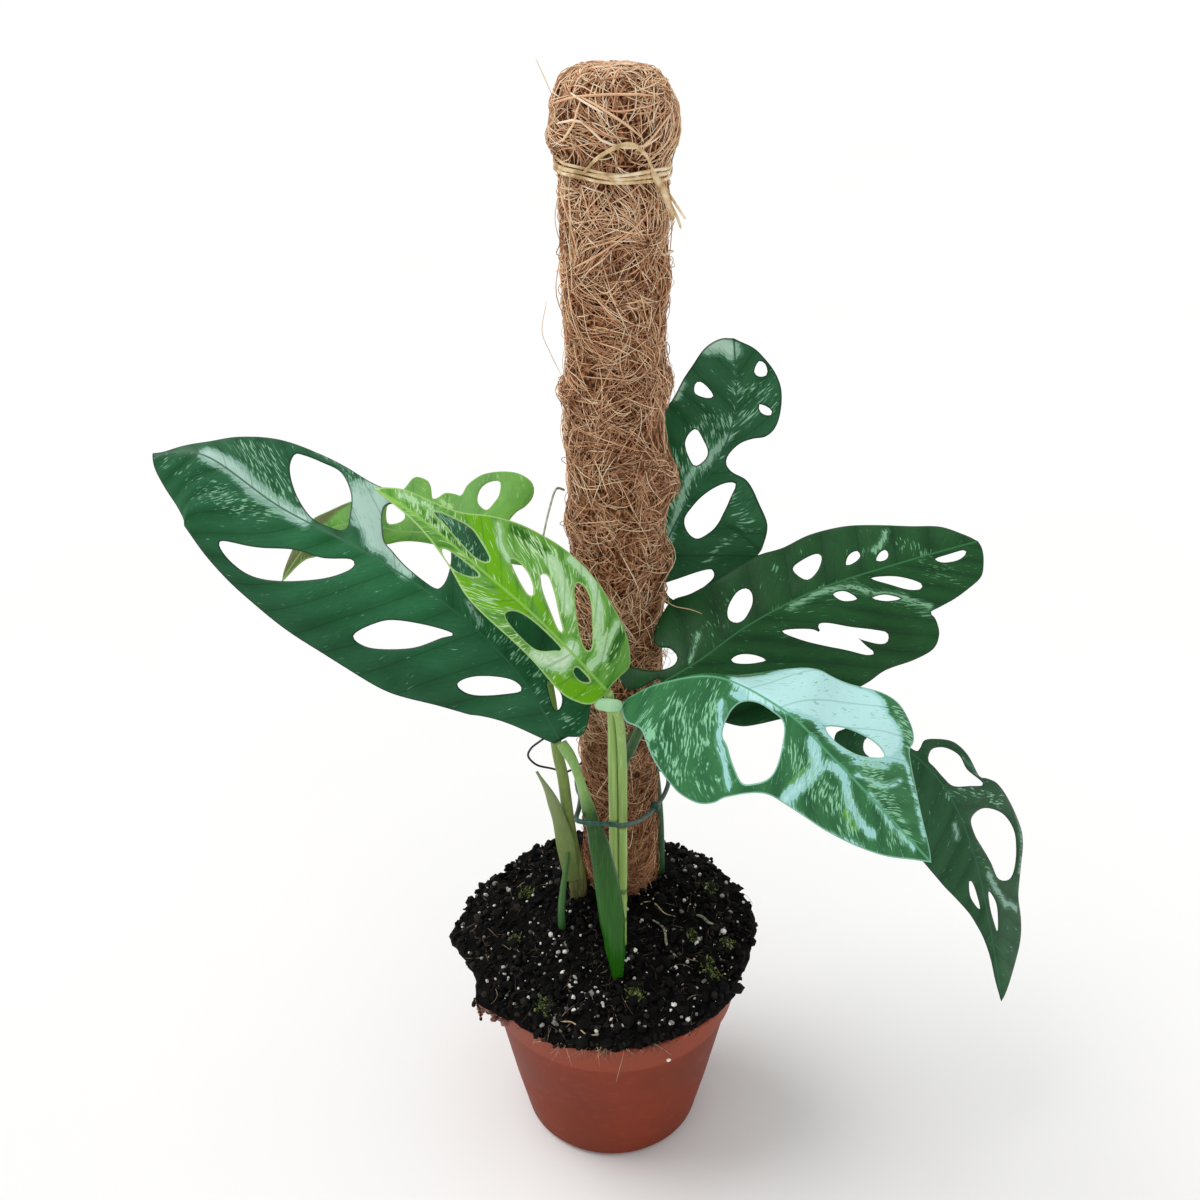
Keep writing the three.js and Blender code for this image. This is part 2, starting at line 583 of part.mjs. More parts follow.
const inBlade = (loops, p) => inside(loops[0], p) && !loops.slice(1).some((window) => inside(window, p));
const apart = (a, b) => Math.hypot(a[0] - b[0], a[1] - b[1]);

// Points on the midrib and on a loose triangular grid, clear of the margin and windows
function innerPoints(loops, length) {
  const edges = loops.flat();
  const points = [];
  const keep = (p, clear) => {
    if (inBlade(loops, p) && edges.every((e) => apart(e, p) > clear)) points.push(p);
  };
  for (let u = RIB_STEP / 2; u < length; u += RIB_STEP) keep([u, 0], RIB_STEP * 0.3);
  for (let row = -6; row <= 6; row += 1) {
    if (row === 0) continue;
    for (let u = -20; u < length; u += INNER_STEP) {
      const shift = (Math.abs(row) % 2) * INNER_STEP * 0.5;
      keep([u + shift + Math.sin(row * 9 + u), row * INNER_STEP * 0.87 + Math.cos(u * 3)], INNER_STEP * 0.42);
    }
  }
  return points;
}

// Delaunay triangles of flat points, by inserting them one at a time
function delaunay(points) {
  const far = 1e4;
  const all = [...points, [-far, -far], [far, -far], [0, far]];
  const n = points.length;
  const circle = (a, b, c) => {
    const [ax, ay] = all[a];
    const [bx, by] = all[b];
    const [cx, cy] = all[c];
    const d = 2 * (ax * (by - cy) + bx * (cy - ay) + cx * (ay - by));
    const [a2, b2, c2] = [ax * ax + ay * ay, bx * bx + by * by, cx * cx + cy * cy];
    const x = (a2 * (by - cy) + b2 * (cy - ay) + c2 * (ay - by)) / d;
    const y = (a2 * (cx - bx) + b2 * (ax - cx) + c2 * (bx - ax)) / d;
    return { corners: [a, b, c], x, y, r2: (ax - x) ** 2 + (ay - y) ** 2 };
  };
  let triangles = [circle(n, n + 1, n + 2)];
  for (let i = 0; i < n; i += 1) {
    const [px, py] = all[i];
    const open = new Map();
    triangles = triangles.filter((t) => {
      if ((px - t.x) ** 2 + (py - t.y) ** 2 >= t.r2) return true;
      for (let k = 0; k < 3; k += 1) {
        const [a, b] = [t.corners[k], t.corners[(k + 1) % 3]];
        if (!open.delete(`${b},${a}`)) open.set(`${a},${b}`, [a, b]);
      }
      return false;
    });
    open.forEach(([a, b]) => triangles.push(circle(a, b, i)));
  }
  return triangles.map((t) => t.corners).filter((t) => t.every((k) => k < n));
}

// Triangles of the flat blade. A loop's edge that they miss is halved until they have it.
function bladeTriangles(loops, length) {
  let current = loops;
  for (let round = 0; ; round += 1) {
    const points = [...current.flat(), ...innerPoints(current, length)];
    const triangles = delaunay(points);
    const edges = new Set(triangles.flatMap(([a, b, c]) => [[a, b], [b, c], [c, a]].map((e) => e.sort().join())));
    let first = 0;
    let missing = 0;
    const next = current.map((loop) => {
      const start = first;
      first += loop.length;
      return loop.flatMap((p, i) => {
        const j = (i + 1) % loop.length;
        if (edges.has([start + i, start + j].sort().join())) return [p];
        missing += 1;
        return [p, [(p[0] + loop[j][0]) / 2, (p[1] + loop[j][1]) / 2]];
      });
    });
    if (missing === 0 || round === 6) {
      const middle = (t) => [0, 1].map((k) => (points[t[0]][k] + points[t[1]][k] + points[t[2]][k]) / 3);
      return { points, triangles: triangles.filter((t) => inBlade(current, middle(t))) };
    }
    current = next;
  }
}

// A closed blade of even thickness: both faces have the same triangles, walls join them
function blade(leaf) {
  const surface = bladeSurface(leaf);
  const { points, triangles } = bladeTriangles(bladeLoops(leaf), smoothCurve(leaf.rib).getLength());
  const used = [...new Set(triangles.flat())];
  const slot = new Map(used.map((k, i) => [k, i]));
  const middle = used.map((k) => surface(...points[k]));
  const faces = triangles.map((t) => t.map((k) => slot.get(k)));
  const normals = faces.map(([a, b, c]) => middle[b].clone().sub(middle[a])
    .cross(middle[c].clone().sub(middle[a])).normalize());
  const sums = middle.map(() => new THREE.Vector3());
  faces.forEach((face, i) => face.forEach((k) => sums[k].add(normals[i])));
  sums.forEach((sum) => sum.normalize());
  const steepest = middle.map(() => 1);
  faces.forEach((face, i) => face.forEach((k) => {
    steepest[k] = Math.min(steepest[k], Math.max(0.6, sums[k].dot(normals[i])));
  }));
  const offset = (k, side) => middle[k].clone().addScaledVector(sums[k], (side * BLADE_THICK) / 2 / steepest[k]);
  const count = middle.length;
  const vertices = [...middle.map((_, k) => offset(k, 1)), ...middle.map((_, k) => offset(k, -1))];
  const borders = new Map();
  faces.forEach((face) => face.forEach((a, k) => {
    const b = face[(k + 1) % 3];
    if (!borders.delete(`${b},${a}`)) borders.set(`${a},${b}`, [a, b]);
  }));
  const walls = [...borders.values()].flatMap(([a, b]) => [[a, count + a, count + b], [a, count + b, b]]);
  return indexed(vertices, [...faces, ...faces.map(([a, b, c]) => [count + a, count + c, count + b]), ...walls]);
}

// Where a stalk has to end to meet its blade at the foot of the midrib
function stalkEnd(leaf) {
  const rib = smoothCurve(leaf.rib);
  return rib.getPoint(0).addScaledVector(rib.getTangent(0), -PETIOLE_GAP).toArray();
}

const poleAxis = (z) => [POLE_X + POLE_LEAN * (z - POLE_LEAN_FROM), POLE_Y];

// Small lumps that never repeat, between -1 and 1
const lumps = (a, b, scale) => (Math.sin(a * scale + 1.7 * Math.sin(b * scale * 0.7))
  + Math.sin(b * scale * 1.3 + 2.1 * Math.sin(a * scale * 0.6))) / 2;

// Outer radius of the pot's wall below the rim band
const taper = (z) => THREE.MathUtils.lerp(POT_BASE_R, POT_RIM_R - RIM_STEP, z / POT_HEIGHT);

function pot() {
  const rimFoot = POT_HEIGHT - RIM_BAND;
  const profile = [
    [0, 0], [POT_BASE_R - BASE_ROUND, 0], [POT_BASE_R - 1, BASE_ROUND * 0.35], [taper(BASE_ROUND), BASE_ROUND],
    [taper(rimFoot), rimFoot], [taper(rimFoot) + RIM_STEP, rimFoot + 1.2],
    [POT_RIM_R - 0.4, POT_HEIGHT - 1.5], [POT_RIM_R, POT_HEIGHT - 0.6], [POT_RIM_R - 0.6, POT_HEIGHT],
    [POT_RIM_R - POT_WALL, POT_HEIGHT - 0.3], [taper(rimFoot) + RIM_STEP - POT_WALL, rimFoot + 2],
    [taper(rimFoot) - POT_WALL, rimFoot - 1], [taper(POT_FLOOR + 2.2) - POT_WALL, POT_FLOOR + 2.2],
    [taper(POT_FLOOR) - POT_WALL - 2, POT_FLOOR], [0, POT_FLOOR],
  ].map(([r, z]) => new THREE.Vector2(r, z));
  const body = new THREE.LatheGeometry(profile, 48).rotateX(Math.PI / 2);
  const drains = Array.from({ length: DRAIN_COUNT }, (_, i) => {
    const turn = (i / DRAIN_COUNT) * TAU;
    return new THREE.CylinderGeometry(DRAIN_R, DRAIN_R, 3 * POT_FLOOR, 14).rotateX(Math.PI / 2)
      .translate(DRAIN_RING_R * Math.cos(turn), DRAIN_RING_R * Math.sin(turn), POT_FLOOR / 2);
  });
  return cutBy(body, drains);
}

const potInside = (z) => taper(z) - POT_WALL - GAP;

function soilHeight(x, y) {
  const away = (x - SOIL_CROWN[0]) ** 2 + (y - SOIL_CROWN[1]) ** 2;
  return SOIL_CROWN[2] - SOIL_FALL * away + CLOD_HEIGHT * lumps(x, y, 0.31);
}

function soil(holes) {
  const lip = [...SOIL_LIP, [SOIL_LIP[0][0] + 360, SOIL_LIP[0][1]]];
  const sides = 48;
  const ring = (radius, height) => Array.from({ length: sides }, (_, k) => {
    const turn = (k / sides) * TAU;
    const r = radius(THREE.MathUtils.radToDeg(turn));
    const [x, y] = [r * Math.cos(turn), r * Math.sin(turn)];
    return new THREE.Vector3(x, y, height(x, y));
  });
  const edge = (azimuth) => lookUp(lip, azimuth);
  const bottom = POT_FLOOR + GAP;
  const rimFoot = POT_HEIGHT - RIM_BAND;
  const underLip = POT_HEIGHT + GAP + 0.1;
  const rings = [
    ring(() => potInside(bottom) - 2.6, () => bottom),
    ring(() => potInside(bottom + 3), () => bottom + 3),
    ring(() => potInside(rimFoot) - 0.3, () => rimFoot - 1),
    ring(() => POT_RIM_R - POT_WALL - GAP - 0.3, () => POT_HEIGHT - 0.5),
    ring(() => POT_RIM_R - POT_WALL - GAP - 0.3, () => underLip),
    ring((a) => edge(a) - 1.5, () => underLip),
    ring(edge, (x, y) => Math.max(underLip + 0.8, soilHeight(x, y) - SOIL_EDGE_ROUND)),
    ...[0.955, 0.84, 0.7, 0.55, 0.4, 0.25, 0.1].map((f) => ring((a) => f * edge(a), soilHeight)),
  ];
  return cutBy(skin(rings), holes);
}

function coirRadius(z, azimuth) {
  const tufts = COIR_TUFTS.reduce((sum, [height, towards, reach, half]) => {
    const turned = ((azimuth - towards + 540) % 360) - 180;
    return sum + reach * Math.exp(-(((z - height) / half) ** 2) - (turned / TUFT_SPREAD) ** 2);
  }, 0);
  return lookUp(COIR_GIRTH, z) + tufts + COIR_RELIEF * lumps(z, azimuth * 0.5, 0.24);
}

function coirPole() {
  const sides = 24;
  const heights = [];
  for (let z = COIR_BOTTOM; z < 437; z += z < 230 ? 15 : 9) heights.push(z);
  heights.push(440, 443.5, COIR_TOP);
  const rings = heights.map((z) => Array.from({ length: sides }, (_, k) => {
    const azimuth = (k / sides) * 360;
    const [x, y] = poleAxis(z);
    const r = coirRadius(z, azimuth);
    return new THREE.Vector3(x + r * Math.cos(radians(azimuth)), y + r * Math.sin(radians(azimuth)), z);
  }));
  return skin(rings);
}

// The stick, pointed below, and with grow the room that it takes in the coir and the soil
function poleStick(grow = 0) {
  const levels = [
    [STICK_BOTTOM - grow, 1 + grow], [STICK_BOTTOM + 18, STICK_R + grow], [STICK_TOP + grow, STICK_R + grow],
  ];
  return skin(levels.map(([z, r]) => Array.from({ length: 16 }, (_, k) => {
    const [x, y] = poleAxis(z);
    return new THREE.Vector3(x + r * Math.cos((k / 16) * TAU), y + r * Math.sin((k / 16) * TAU), z);
  })));
}

// Straight well in the soil for the coir, wide enough for its lumps
function poleWell() {
  const girth = 16.8;
  return skin([COIR_BOTTOM - GAP, 150].map((z) => Array.from({ length: 28 }, (_, k) => {
    const [x, y] = poleAxis(z);
    return new THREE.Vector3(x + girth * Math.cos((k / 28) * TAU), y + girth * Math.sin((k / 28) * TAU), z);
  })));
}

function stalk(part, grow = 0) {
  const path = part.leaf ? [...part.path, stalkEnd(LEAVES[part.leaf])] : part.path;
  return rod({ ...part, path, grow });
}

const plainRod = (path, radius, reference, grow = 0, step = 11) => rod({
  path, reference, grow, step, halfWidth: [radius], halfThick: [radius],
});

function vineStem() {
  const branches = STEM_BRANCHES.map(({ leaf, reference, path, radius }) => rod({
    path: [...path, stalkEnd(LEAVES[leaf])], reference, halfWidth: radius, halfThick: radius,
  }));
  return fused([plainRod(STEM_PATH, STEM_R, [1, 0, 0]), ...branches]);
}

function frontStalk() {
  const knee = rod({
    path: KNEE_PATH,
    reference: [0, 0, 1],
    halfWidth: [1.7, KNEE_R, KNEE_R, 1.4],
    halfThick: [1.7, KNEE_R, KNEE_R, 1.4],
    step: 1.6,
  });
  return fused([plainRod(FRONT_STALK_PATH, FRONT_STALK_R, [1, 0, 0]), knee]);
}

function leftStalk() {
  const sheath = rod({
    path: SHEATH_PATH, reference: [1, 0, 0], halfWidth: [3.6, 4.2, 2.8, 0.6], halfThick: [1.6, 1.4, 1.2, 0.5],
  });
  return fused([stalk(STALKS.petiole_c_left), sheath, plainRod(OLD_STALK_PATH, 2.1, [1, 0, 0])]);
}

function tieBand() {
  const knot = new THREE.SphereGeometry(1, 10, 8).scale(...KNOT_R).translate(...KNOT_CENTRE);
  const band = rod({
    path: BAND_PATH, reference: [0, 0, 1], halfWidth: [BAND_R], halfThick: [BAND_R], sides: 6, step: 6.5, loop: true,
  });
  return fused([band, knot]);
}

function raffia() {
  const [x, y] = poleAxis(RAFFIA_Z);
  const ringPath = Array.from({ length: 16 }, (_, k) => {
    const azimuth = (k / 16) * 360;
    const r = Math.max(...[-2, 0, 2].map((dz) => coirRadius(RAFFIA_Z + dz, azimuth))) + RAFFIA_CLEAR;
    return [x + r * Math.cos(radians(azimuth)), y + r * Math.sin(radians(azimuth)), RAFFIA_Z];
  });
  const ring = rod({
    path: ringPath, reference: [0, 0, 1], halfWidth: [RAFFIA_HALF_HEIGHT], halfThick: [RAFFIA_HALF_THICK],
    sides: 6, step: 4.5, loop: true,
  });
  const strand = (path) => rod({
    path, reference: [0, 0, 1], halfWidth: [RAFFIA_STRAND_R], halfThick: [RAFFIA_STRAND_R], sides: 6, step: 3.5,
  });
  return fused([ring, strand(RAFFIA_LOOP), strand(RAFFIA_END)]);
}

const soilHoles = [
  poleWell(),
  poleStick(GAP),
  stalk(STALKS.petiole_a_sheathed, GAP),
  stalk(STALKS.petiole_b, GAP),
  stalk(STALKS.petiole_c_left, GAP),
  stalk(STALKS.petiole_d_behind_pole, GAP),
  plainRod(STEM_PATH, STEM_R, [1, 0, 0], GAP),
  plainRod(FRONT_STALK_PATH, FRONT_STALK_R, [1, 0, 0], GAP),
  plainRod(OLD_STALK_PATH, 2.1, [1, 0, 0], GAP),
];

const group = new THREE.Group();
group.add(
  named("pot", pot(), ...FINISH.pot),
  named("soil", soil(soilHoles), ...FINISH.soil),
  named("pole_stick", poleStick(), ...FINISH.stick),
  named("pole_coir", cutBy(coirPole(), [poleStick(GAP)]), ...FINISH.coir),
  named("pole_raffia", raffia(), ...FINISH.raffia),
  named("vine_stem", vineStem(), ...FINISH.stem),
  named("petiole_c_left", leftStalk(), STALKS.petiole_c_left.colour, LEAF_ROUGHNESS),
  named("petiole_f_knee", frontStalk(), ...FINISH.knee),
  named("tie_band", tieBand(), ...FINISH.band),
  named("wire_pin", plainRod(WIRE_PIN_PATH, WIRE_PIN_R, [0, 0, 1], 0, 4.5), ...FINISH.wire),
  named("twist_tie", plainRod(TWIST_PATH, TWIST_R, [0, 1, 0], 0, 3), ...FINISH.twist),
);
for (const name of ["petiole_a_sheathed", "petiole_b", "petiole_d_behind_pole"]) {
  group.add(named(name, stalk(STALKS[name]), STALKS[name].colour, LEAF_ROUGHNESS));
}
for (const [name, leaf] of Object.entries(LEAVES)) {
  group.add(named(name, blade(leaf), leaf.colour, LEAF_ROUGHNESS));
}

export default group;
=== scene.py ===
"""A potted Indonesian marble monstera on its coir pole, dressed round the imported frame.

The classes hold their sizes in millimetres, in the frame's own axes: +Z up and the front of
the plant towards -Y. The finished meshes are in metres.
"""

import logging
import math
from collections.abc import Sequence
from dataclasses import dataclass, replace
from enum import Enum

import bmesh
import bpy
import numpy as np
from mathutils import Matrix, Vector, geometry


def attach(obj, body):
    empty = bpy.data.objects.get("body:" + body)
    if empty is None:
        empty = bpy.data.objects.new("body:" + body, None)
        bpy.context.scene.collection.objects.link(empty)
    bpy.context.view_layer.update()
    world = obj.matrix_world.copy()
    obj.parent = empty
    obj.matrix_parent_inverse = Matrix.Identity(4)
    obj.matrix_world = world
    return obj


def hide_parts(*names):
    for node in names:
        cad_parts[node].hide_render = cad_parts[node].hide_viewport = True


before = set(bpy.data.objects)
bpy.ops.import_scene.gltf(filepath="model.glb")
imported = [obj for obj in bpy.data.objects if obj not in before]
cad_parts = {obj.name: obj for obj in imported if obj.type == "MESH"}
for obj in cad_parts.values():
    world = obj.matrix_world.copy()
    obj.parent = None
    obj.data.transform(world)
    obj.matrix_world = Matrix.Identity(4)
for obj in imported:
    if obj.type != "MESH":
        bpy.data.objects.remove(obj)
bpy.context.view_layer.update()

MM = 0.001
TAU = 2 * math.pi
LOG = logging.getLogger("monstera")

Point = tuple[float, ...]
Outline = list[Point]
Socket = bpy.types.NodeSocket


def linear(colour: str) -> tuple[float, float, float, float]:
    """Turns an sRGB hex colour into linear RGBA."""
    parts = [int(colour[i:i + 2], 16) / 255 for i in (1, 3, 5)]
    return (*(c / 12.92 if c <= 0.04045 else ((c + 0.055) / 1.055) ** 2.4 for c in parts), 1.0)


def blend(colour: str, other: str, share: float) -> str:
    """Mixes two sRGB hex colours."""
    pairs = [(int(colour[i:i + 2], 16), int(other[i:i + 2], 16)) for i in (1, 3, 5)]
    return "#" + "".join(f"{round(a + (b - a) * share):02x}" for a, b in pairs)


def add_node(
    tree: bpy.types.NodeTree, kind: str, settings: dict | None = None, links: dict | None = None,
) -> bpy.types.Node:
    """Adds a shader node.

    Args:
        tree: The material's node tree.
        kind: The node's class name.
        settings: Properties, sockets' values by name or number, or "stops" of a colour ramp.
        links: The output that each input takes, by the input's name or number.

    Returns:
        The new node.
    """
    node = tree.nodes.new(kind)
    for name, value in (settings or {}).items():
        if name == "stops":
            for index, (place, colour) in enumerate(value):
                elements = node.color_ramp.elements
                element = elements[index] if index < 2 else elements.new(place)
                element.position = place
                element.color = linear(colour)
        elif isinstance(name, str) and hasattr(node, name):
            setattr(node, name, value)
        else:
            node.inputs[name].default_value = value
    for socket, source in (links or {}).items():
        tree.links.new(source, node.inputs[socket])
    return node


def deselect() -> None:
    """Leaves object mode ready for a new primitive, with nothing selected."""
    bpy.ops.object.select_all(action="DESELECT")


def unit(rows: np.ndarray) -> np.ndarray:
    """Scales each row to length one."""
    return rows / np.maximum(np.linalg.norm(rows, axis=-1, keepdims=True), 1e-12)


def around(turn: np.ndarray) -> np.ndarray:
    """Directions in the plan at angles in radians, as x and y."""
    return np.stack([np.cos(turn), np.sin(turn)], -1)


def smoothstep(low: float, high: float, value: np.ndarray) -> np.ndarray:
    """Eases from 0 at low to 1 at high."""
    t = np.clip((value - low) / (high - low), 0, 1)
    return t * t * (3 - 2 * t)


def lumps(a: np.ndarray, b: np.ndarray, scale: float) -> np.ndarray:
    """Small lumps that never repeat, between -1 and 1."""
    first = np.sin(a * scale + 1.7 * np.sin(b * scale * 0.7))
    return (first + np.sin(b * scale * 1.3 + 2.1 * np.sin(a * scale * 0.6))) / 2


def eased(values: Sequence[float], t: np.ndarray) -> np.ndarray:
    """Value of an evenly spaced list at t from 0 to 1, eased from one entry to the next."""
    table = np.array(values, float)
    if len(table) == 1:
        return np.full(np.shape(t), table[0])
    x = np.clip(t, 0, 1) * (len(table) - 1)
    i = np.minimum(x.astype(int), len(table) - 2)
    f = smoothstep(0, 1, x - i)
    return table[i] * (1 - f) + table[i + 1] * f


class SmoothLine:
    """A uniform Catmull-Rom line through points, read by its share of length."""

    STEPS = 40

    def __init__(self, points: Sequence[Point], closed: bool = False) -> None:
        """Works out the line.

        Args:
            points: What it passes through, in two or three dimensions.
            closed: Whether it runs back to its first point.
        """
        p = np.array(points, float)
        if closed:
            p = np.vstack([p[-1], p, p[:2]])
        else:
            p = np.vstack([2 * p[0] - p[1], p, 2 * p[-1] - p[-2]])
        t = np.linspace(0, 1, self.STEPS, endpoint=False)[:, None]
        spans = [
            0.5 * (
                2 * b + (c - a) * t + (2 * a - 5 * b + 4 * c - d) * t ** 2 + (3 * b - a - 3 * c + d) * t ** 3
            )
            for a, b, c, d in zip(p, p[1:], p[2:], p[3:])
        ]
        self.fine = np.vstack([*spans, p[-2:-1]])
        steps = np.linalg.norm(np.diff(self.fine, axis=0), axis=1)
        self.run = np.concatenate([[0], np.cumsum(steps)])
        self.length = float(self.run[-1])

    def point(self, share: np.ndarray) -> np.ndarray:
        """Places at shares of the line's length."""
        run = np.clip(share, 0, 1) * self.length
        return np.stack([np.interp(run, self.run, column) for column in self.fine.T], -1)

    def tangent(self, share: np.ndarray) -> np.ndarray:
        """Directions at shares of the line's length."""
        near = 0.6 / self.length
        return unit(self.point(np.clip(share + near, 0, 1)) - self.point(np.clip(share - near, 0, 1)))

    def spaced(self, step: float, least: int) -> np.ndarray:
        """Even points about a step apart, without the last one."""
        count = max(least, round(self.length / step))
        return self.point(np.arange(count) / count)


def make_piece(
    name: str, vertices: np.ndarray, faces: Sequence[Sequence[int]], material: bpy.types.Material,
) -> bpy.types.Object:
    """Makes a smooth mesh object from millimetres.

    Args:
        name: The piece's name.
        vertices: Places, one a row.
        faces: Corners of each face, anticlockwise seen from outside.
        material: Its finish.

    Returns:
        The piece, in metres, at the origin.
    """
    mesh = bpy.data.meshes.new(name)
    mesh.from_pydata((np.asarray(vertices) * MM).tolist(), [], [list(map(int, face)) for face in faces])
    mesh.polygons.foreach_set("use_smooth", np.ones(len(mesh.polygons), bool))
    mesh.materials.append(material)
    piece = bpy.data.objects.new(name, mesh)
    bpy.context.scene.collection.objects.link(piece)
    return piece


def places(piece: bpy.types.Object) -> np.ndarray:
    """The piece's vertices in millimetres, one a row."""
    flat = np.empty(len(piece.data.vertices) * 3, np.float32)
    piece.data.vertices.foreach_get("co", flat)
    return flat.reshape(-1, 3).astype(float) / MM


def move_to(piece: bpy.types.Object, vertices: np.ndarray) -> None:
    """Puts the piece's vertices at places in millimetres."""
    piece.data.vertices.foreach_set("co", (vertices * MM).astype(np.float32).ravel())
    piece.data.update()


def normals(piece: bpy.types.Object) -> np.ndarray:
    """The piece's vertex normals, one a row."""
    flat = np.empty(len(piece.data.vertices) * 3, np.float32)
    piece.data.vertices.foreach_get("normal", flat)
    return flat.reshape(-1, 3).astype(float)


def mark(piece: bpy.types.Object, name: str, values: np.ndarray) -> None:
    """Stores a number or a triple on each vertex, for the material to read."""
    triple = values.ndim == 2
    layer = piece.data.attributes.new(name, "FLOAT_VECTOR" if triple else "FLOAT", "POINT")
    layer.data.foreach_set("vector" if triple else "value", values.astype(np.float32).ravel())


def finish_by(piece: bpy.types.Object, kind: str, **settings: object) -> None:
    """Adds a modifier to the piece and applies it.

    Args:
        piece: What it shapes.
        kind: The modifier's type.
        settings: Its properties.
    """
    deselect()
    piece.select_set(True)
    bpy.context.view_layer.objects.active = piece
    bpy.ops.object.modifier_add(type=kind)
    modifier = piece.modifiers[-1]
    for key, value in settings.items():
        setattr(modifier, key, value)
    bpy.ops.object.modifier_apply(modifier=modifier.name)


def draw_out(
    name: str, rings: np.ndarray, material: bpy.types.Material, loop: bool = False,
) -> bpy.types.Object:
    """Draws a skin out of a circle primitive, ring by ring.

    Args:
        name: The piece's name.
        rings: Places of ring by corner by axis, anticlockwise about the way they run.
        material: Its finish.
        loop: Whether the last ring is bridged to the first one, and otherwise both ends are filled.

    Returns:
        The piece.
    """
    deselect()
    sides = rings.shape[1]
    bpy.ops.mesh.primitive_circle_add(vertices=sides, radius=1, fill_type="NOTHING")
    piece = bpy.context.object
    piece.name = piece.data.name = name
    bpy.ops.object.mode_set(mode="EDIT")
    bpy.ops.mesh.select_all(action="SELECT")
    mesh = bmesh.from_edit_mesh(piece.data)
    run = mesh.verts.layers.float.new("run")
    current = dict(zip(mesh.verts, range(sides)))
    for vertex, k in current.items():
        vertex.co = rings[0][k] * MM
    for number, ring in enumerate(rings[1:], 1):
        before = {tuple(v.co): k for v, k in current.items()}
        bpy.ops.mesh.extrude_edges_move()
        current = {v: before[tuple(v.co)] for v in mesh.verts if v.select}
        for vertex, k in current.items():
            vertex.co = ring[k] * MM
            vertex[run] = number / (len(rings) - 1)
    bpy.ops.mesh.select_all(action="SELECT")
    bpy.ops.mesh.region_to_loop()
    if loop:
        bpy.ops.mesh.bridge_edge_loops()
    else:
        bpy.ops.mesh.edge_face_add()
    bpy.ops.mesh.select_all(action="SELECT")
    bpy.ops.mesh.normals_make_consistent(inside=False)
    bpy.ops.object.mode_set(mode="OBJECT")
    bpy.ops.object.shade_smooth()
    piece.data.materials.append(material)
    return piece


def grain(points: np.ndarray, size: float, seed: int = 0) -> np.ndarray:
    """Smooth noise between -1 and 1.

    Args:
        points: Places in millimetres, one a row.
        size: How wide its bumps are, in millimetres.
        seed: Which noise.

    Returns:
        One value a row.
    """
    scaled = points / size + 31.7 * seed
    cell = np.floor(scaled)
    part = scaled - cell
    part = part * part * (3 - 2 * part)
    total = np.zeros(len(points))
    for corner in range(8):
        offset = np.array([(corner >> k) & 1 for k in range(3)])
        key = (cell + offset) @ np.array([12.9898, 78.233, 37.719])
        value = np.sin(key) * 43758.5453
        total += np.prod(np.where(offset, part, 1 - part), axis=1) * (2 * (value - np.floor(value)) - 1)
    return total


def strands(
    name: str, lines: np.ndarray, radii: np.ndarray, tones: np.ndarray, material: bpy.types.Material,
    sides: int = 3,
) -> bpy.types.Object:
    """Makes one piece of many thin fibres, each a closed tube of few faces.

    Args:
        name: The piece's name.
        lines: Fibre by place by axis.
        radii: Fibre by place.
        tones: A number for each fibre, for the material to read.
        material: Their finish.
        sides: Corners of a tube.

    Returns:
        The piece.
    """
    count, steps = lines.shape[:2]
    tangent = unit(np.gradient(lines, axis=1))
    helper = np.where(np.abs(tangent[:, :1, 2:]) > 0.9, [[[1.0, 0, 0]]], [[[0, 0, 1.0]]])
    across = unit(np.cross(tangent, helper))
    other = np.cross(tangent, across)
    turns = np.arange(sides) * TAU / sides
    vertices = (
        lines[:, :, None]
        + radii[:, :, None, None] * (
            across[:, :, None] * np.cos(turns)[:, None] + other[:, :, None] * np.sin(turns)[:, None]
        )
    ).reshape(-1, 3)
    first = np.arange(count)[:, None, None] * steps * sides
    at = first + np.arange(steps - 1)[:, None] * sides
    here = np.arange(sides)
    after = (here + 1) % sides
    walls = np.stack([at + here, at + after, at + sides + after, at + sides + here], -1).reshape(-1, 4)
    start = (first[:, 0] + here[::-1]).tolist()
    end = (first[:, 0] + (steps - 1) * sides + here).tolist()
    piece = make_piece(name, vertices, walls.tolist() + start + end, material)
    mark(piece, "tone", np.repeat(tones, steps * sides))
    mark(piece, "run", np.tile(np.repeat(np.linspace(0, 1, steps), sides), count))
    return piece


def copies(
    name: str, model: bpy.types.Object, centres: np.ndarray, sizes: np.ndarray, rng: np.random.Generator,
    material: bpy.types.Material, shape: float = 0.35, tones: np.ndarray | None = None,
) -> bpy.types.Object:
    """Copies one modelled bit many times into one piece, turned at random.

    Args:
        name: The piece's name.
        model: The bit, about one millimetre in radius at the origin, which is used up.
        centres: Where the copies go, one a row.
        sizes: Half width of each.
        rng: Source of the turns and tones.
        material: Their finish.
        shape: How much a copy is stretched or squashed.
        tones: A number for each copy, for the material to read, and otherwise any from 0 to 1.

    Returns:
        The piece.
    """
    bit = places(model)
    faces = np.array([list(polygon.vertices) for polygon in model.data.polygons])
    bpy.data.objects.remove(model)
    count = len(centres)
    axes = np.linalg.qr(rng.normal(size=(count, 3, 3)))[0]
    axes *= np.sign(np.linalg.det(axes))[:, None, None]
    stretched = bit[None] * (1 + shape * rng.uniform(-1, 1, (count, 1, 3)))
    vertices = np.einsum("nij,nkj->nki", axes, stretched) * sizes[:, None, None] + centres[:, None]
    index = (faces[None] + np.arange(count)[:, None, None] * len(bit)).reshape(-1, faces.shape[1])
    piece = make_piece(name, vertices.reshape(-1, 3), index.tolist(), material)
    piece.data.polygons.foreach_set("use_smooth", np.zeros(len(piece.data.polygons), bool))
    mark(piece, "tone", np.repeat(rng.uniform(0, 1, count) if tones is None else tones, len(bit)))
    return piece


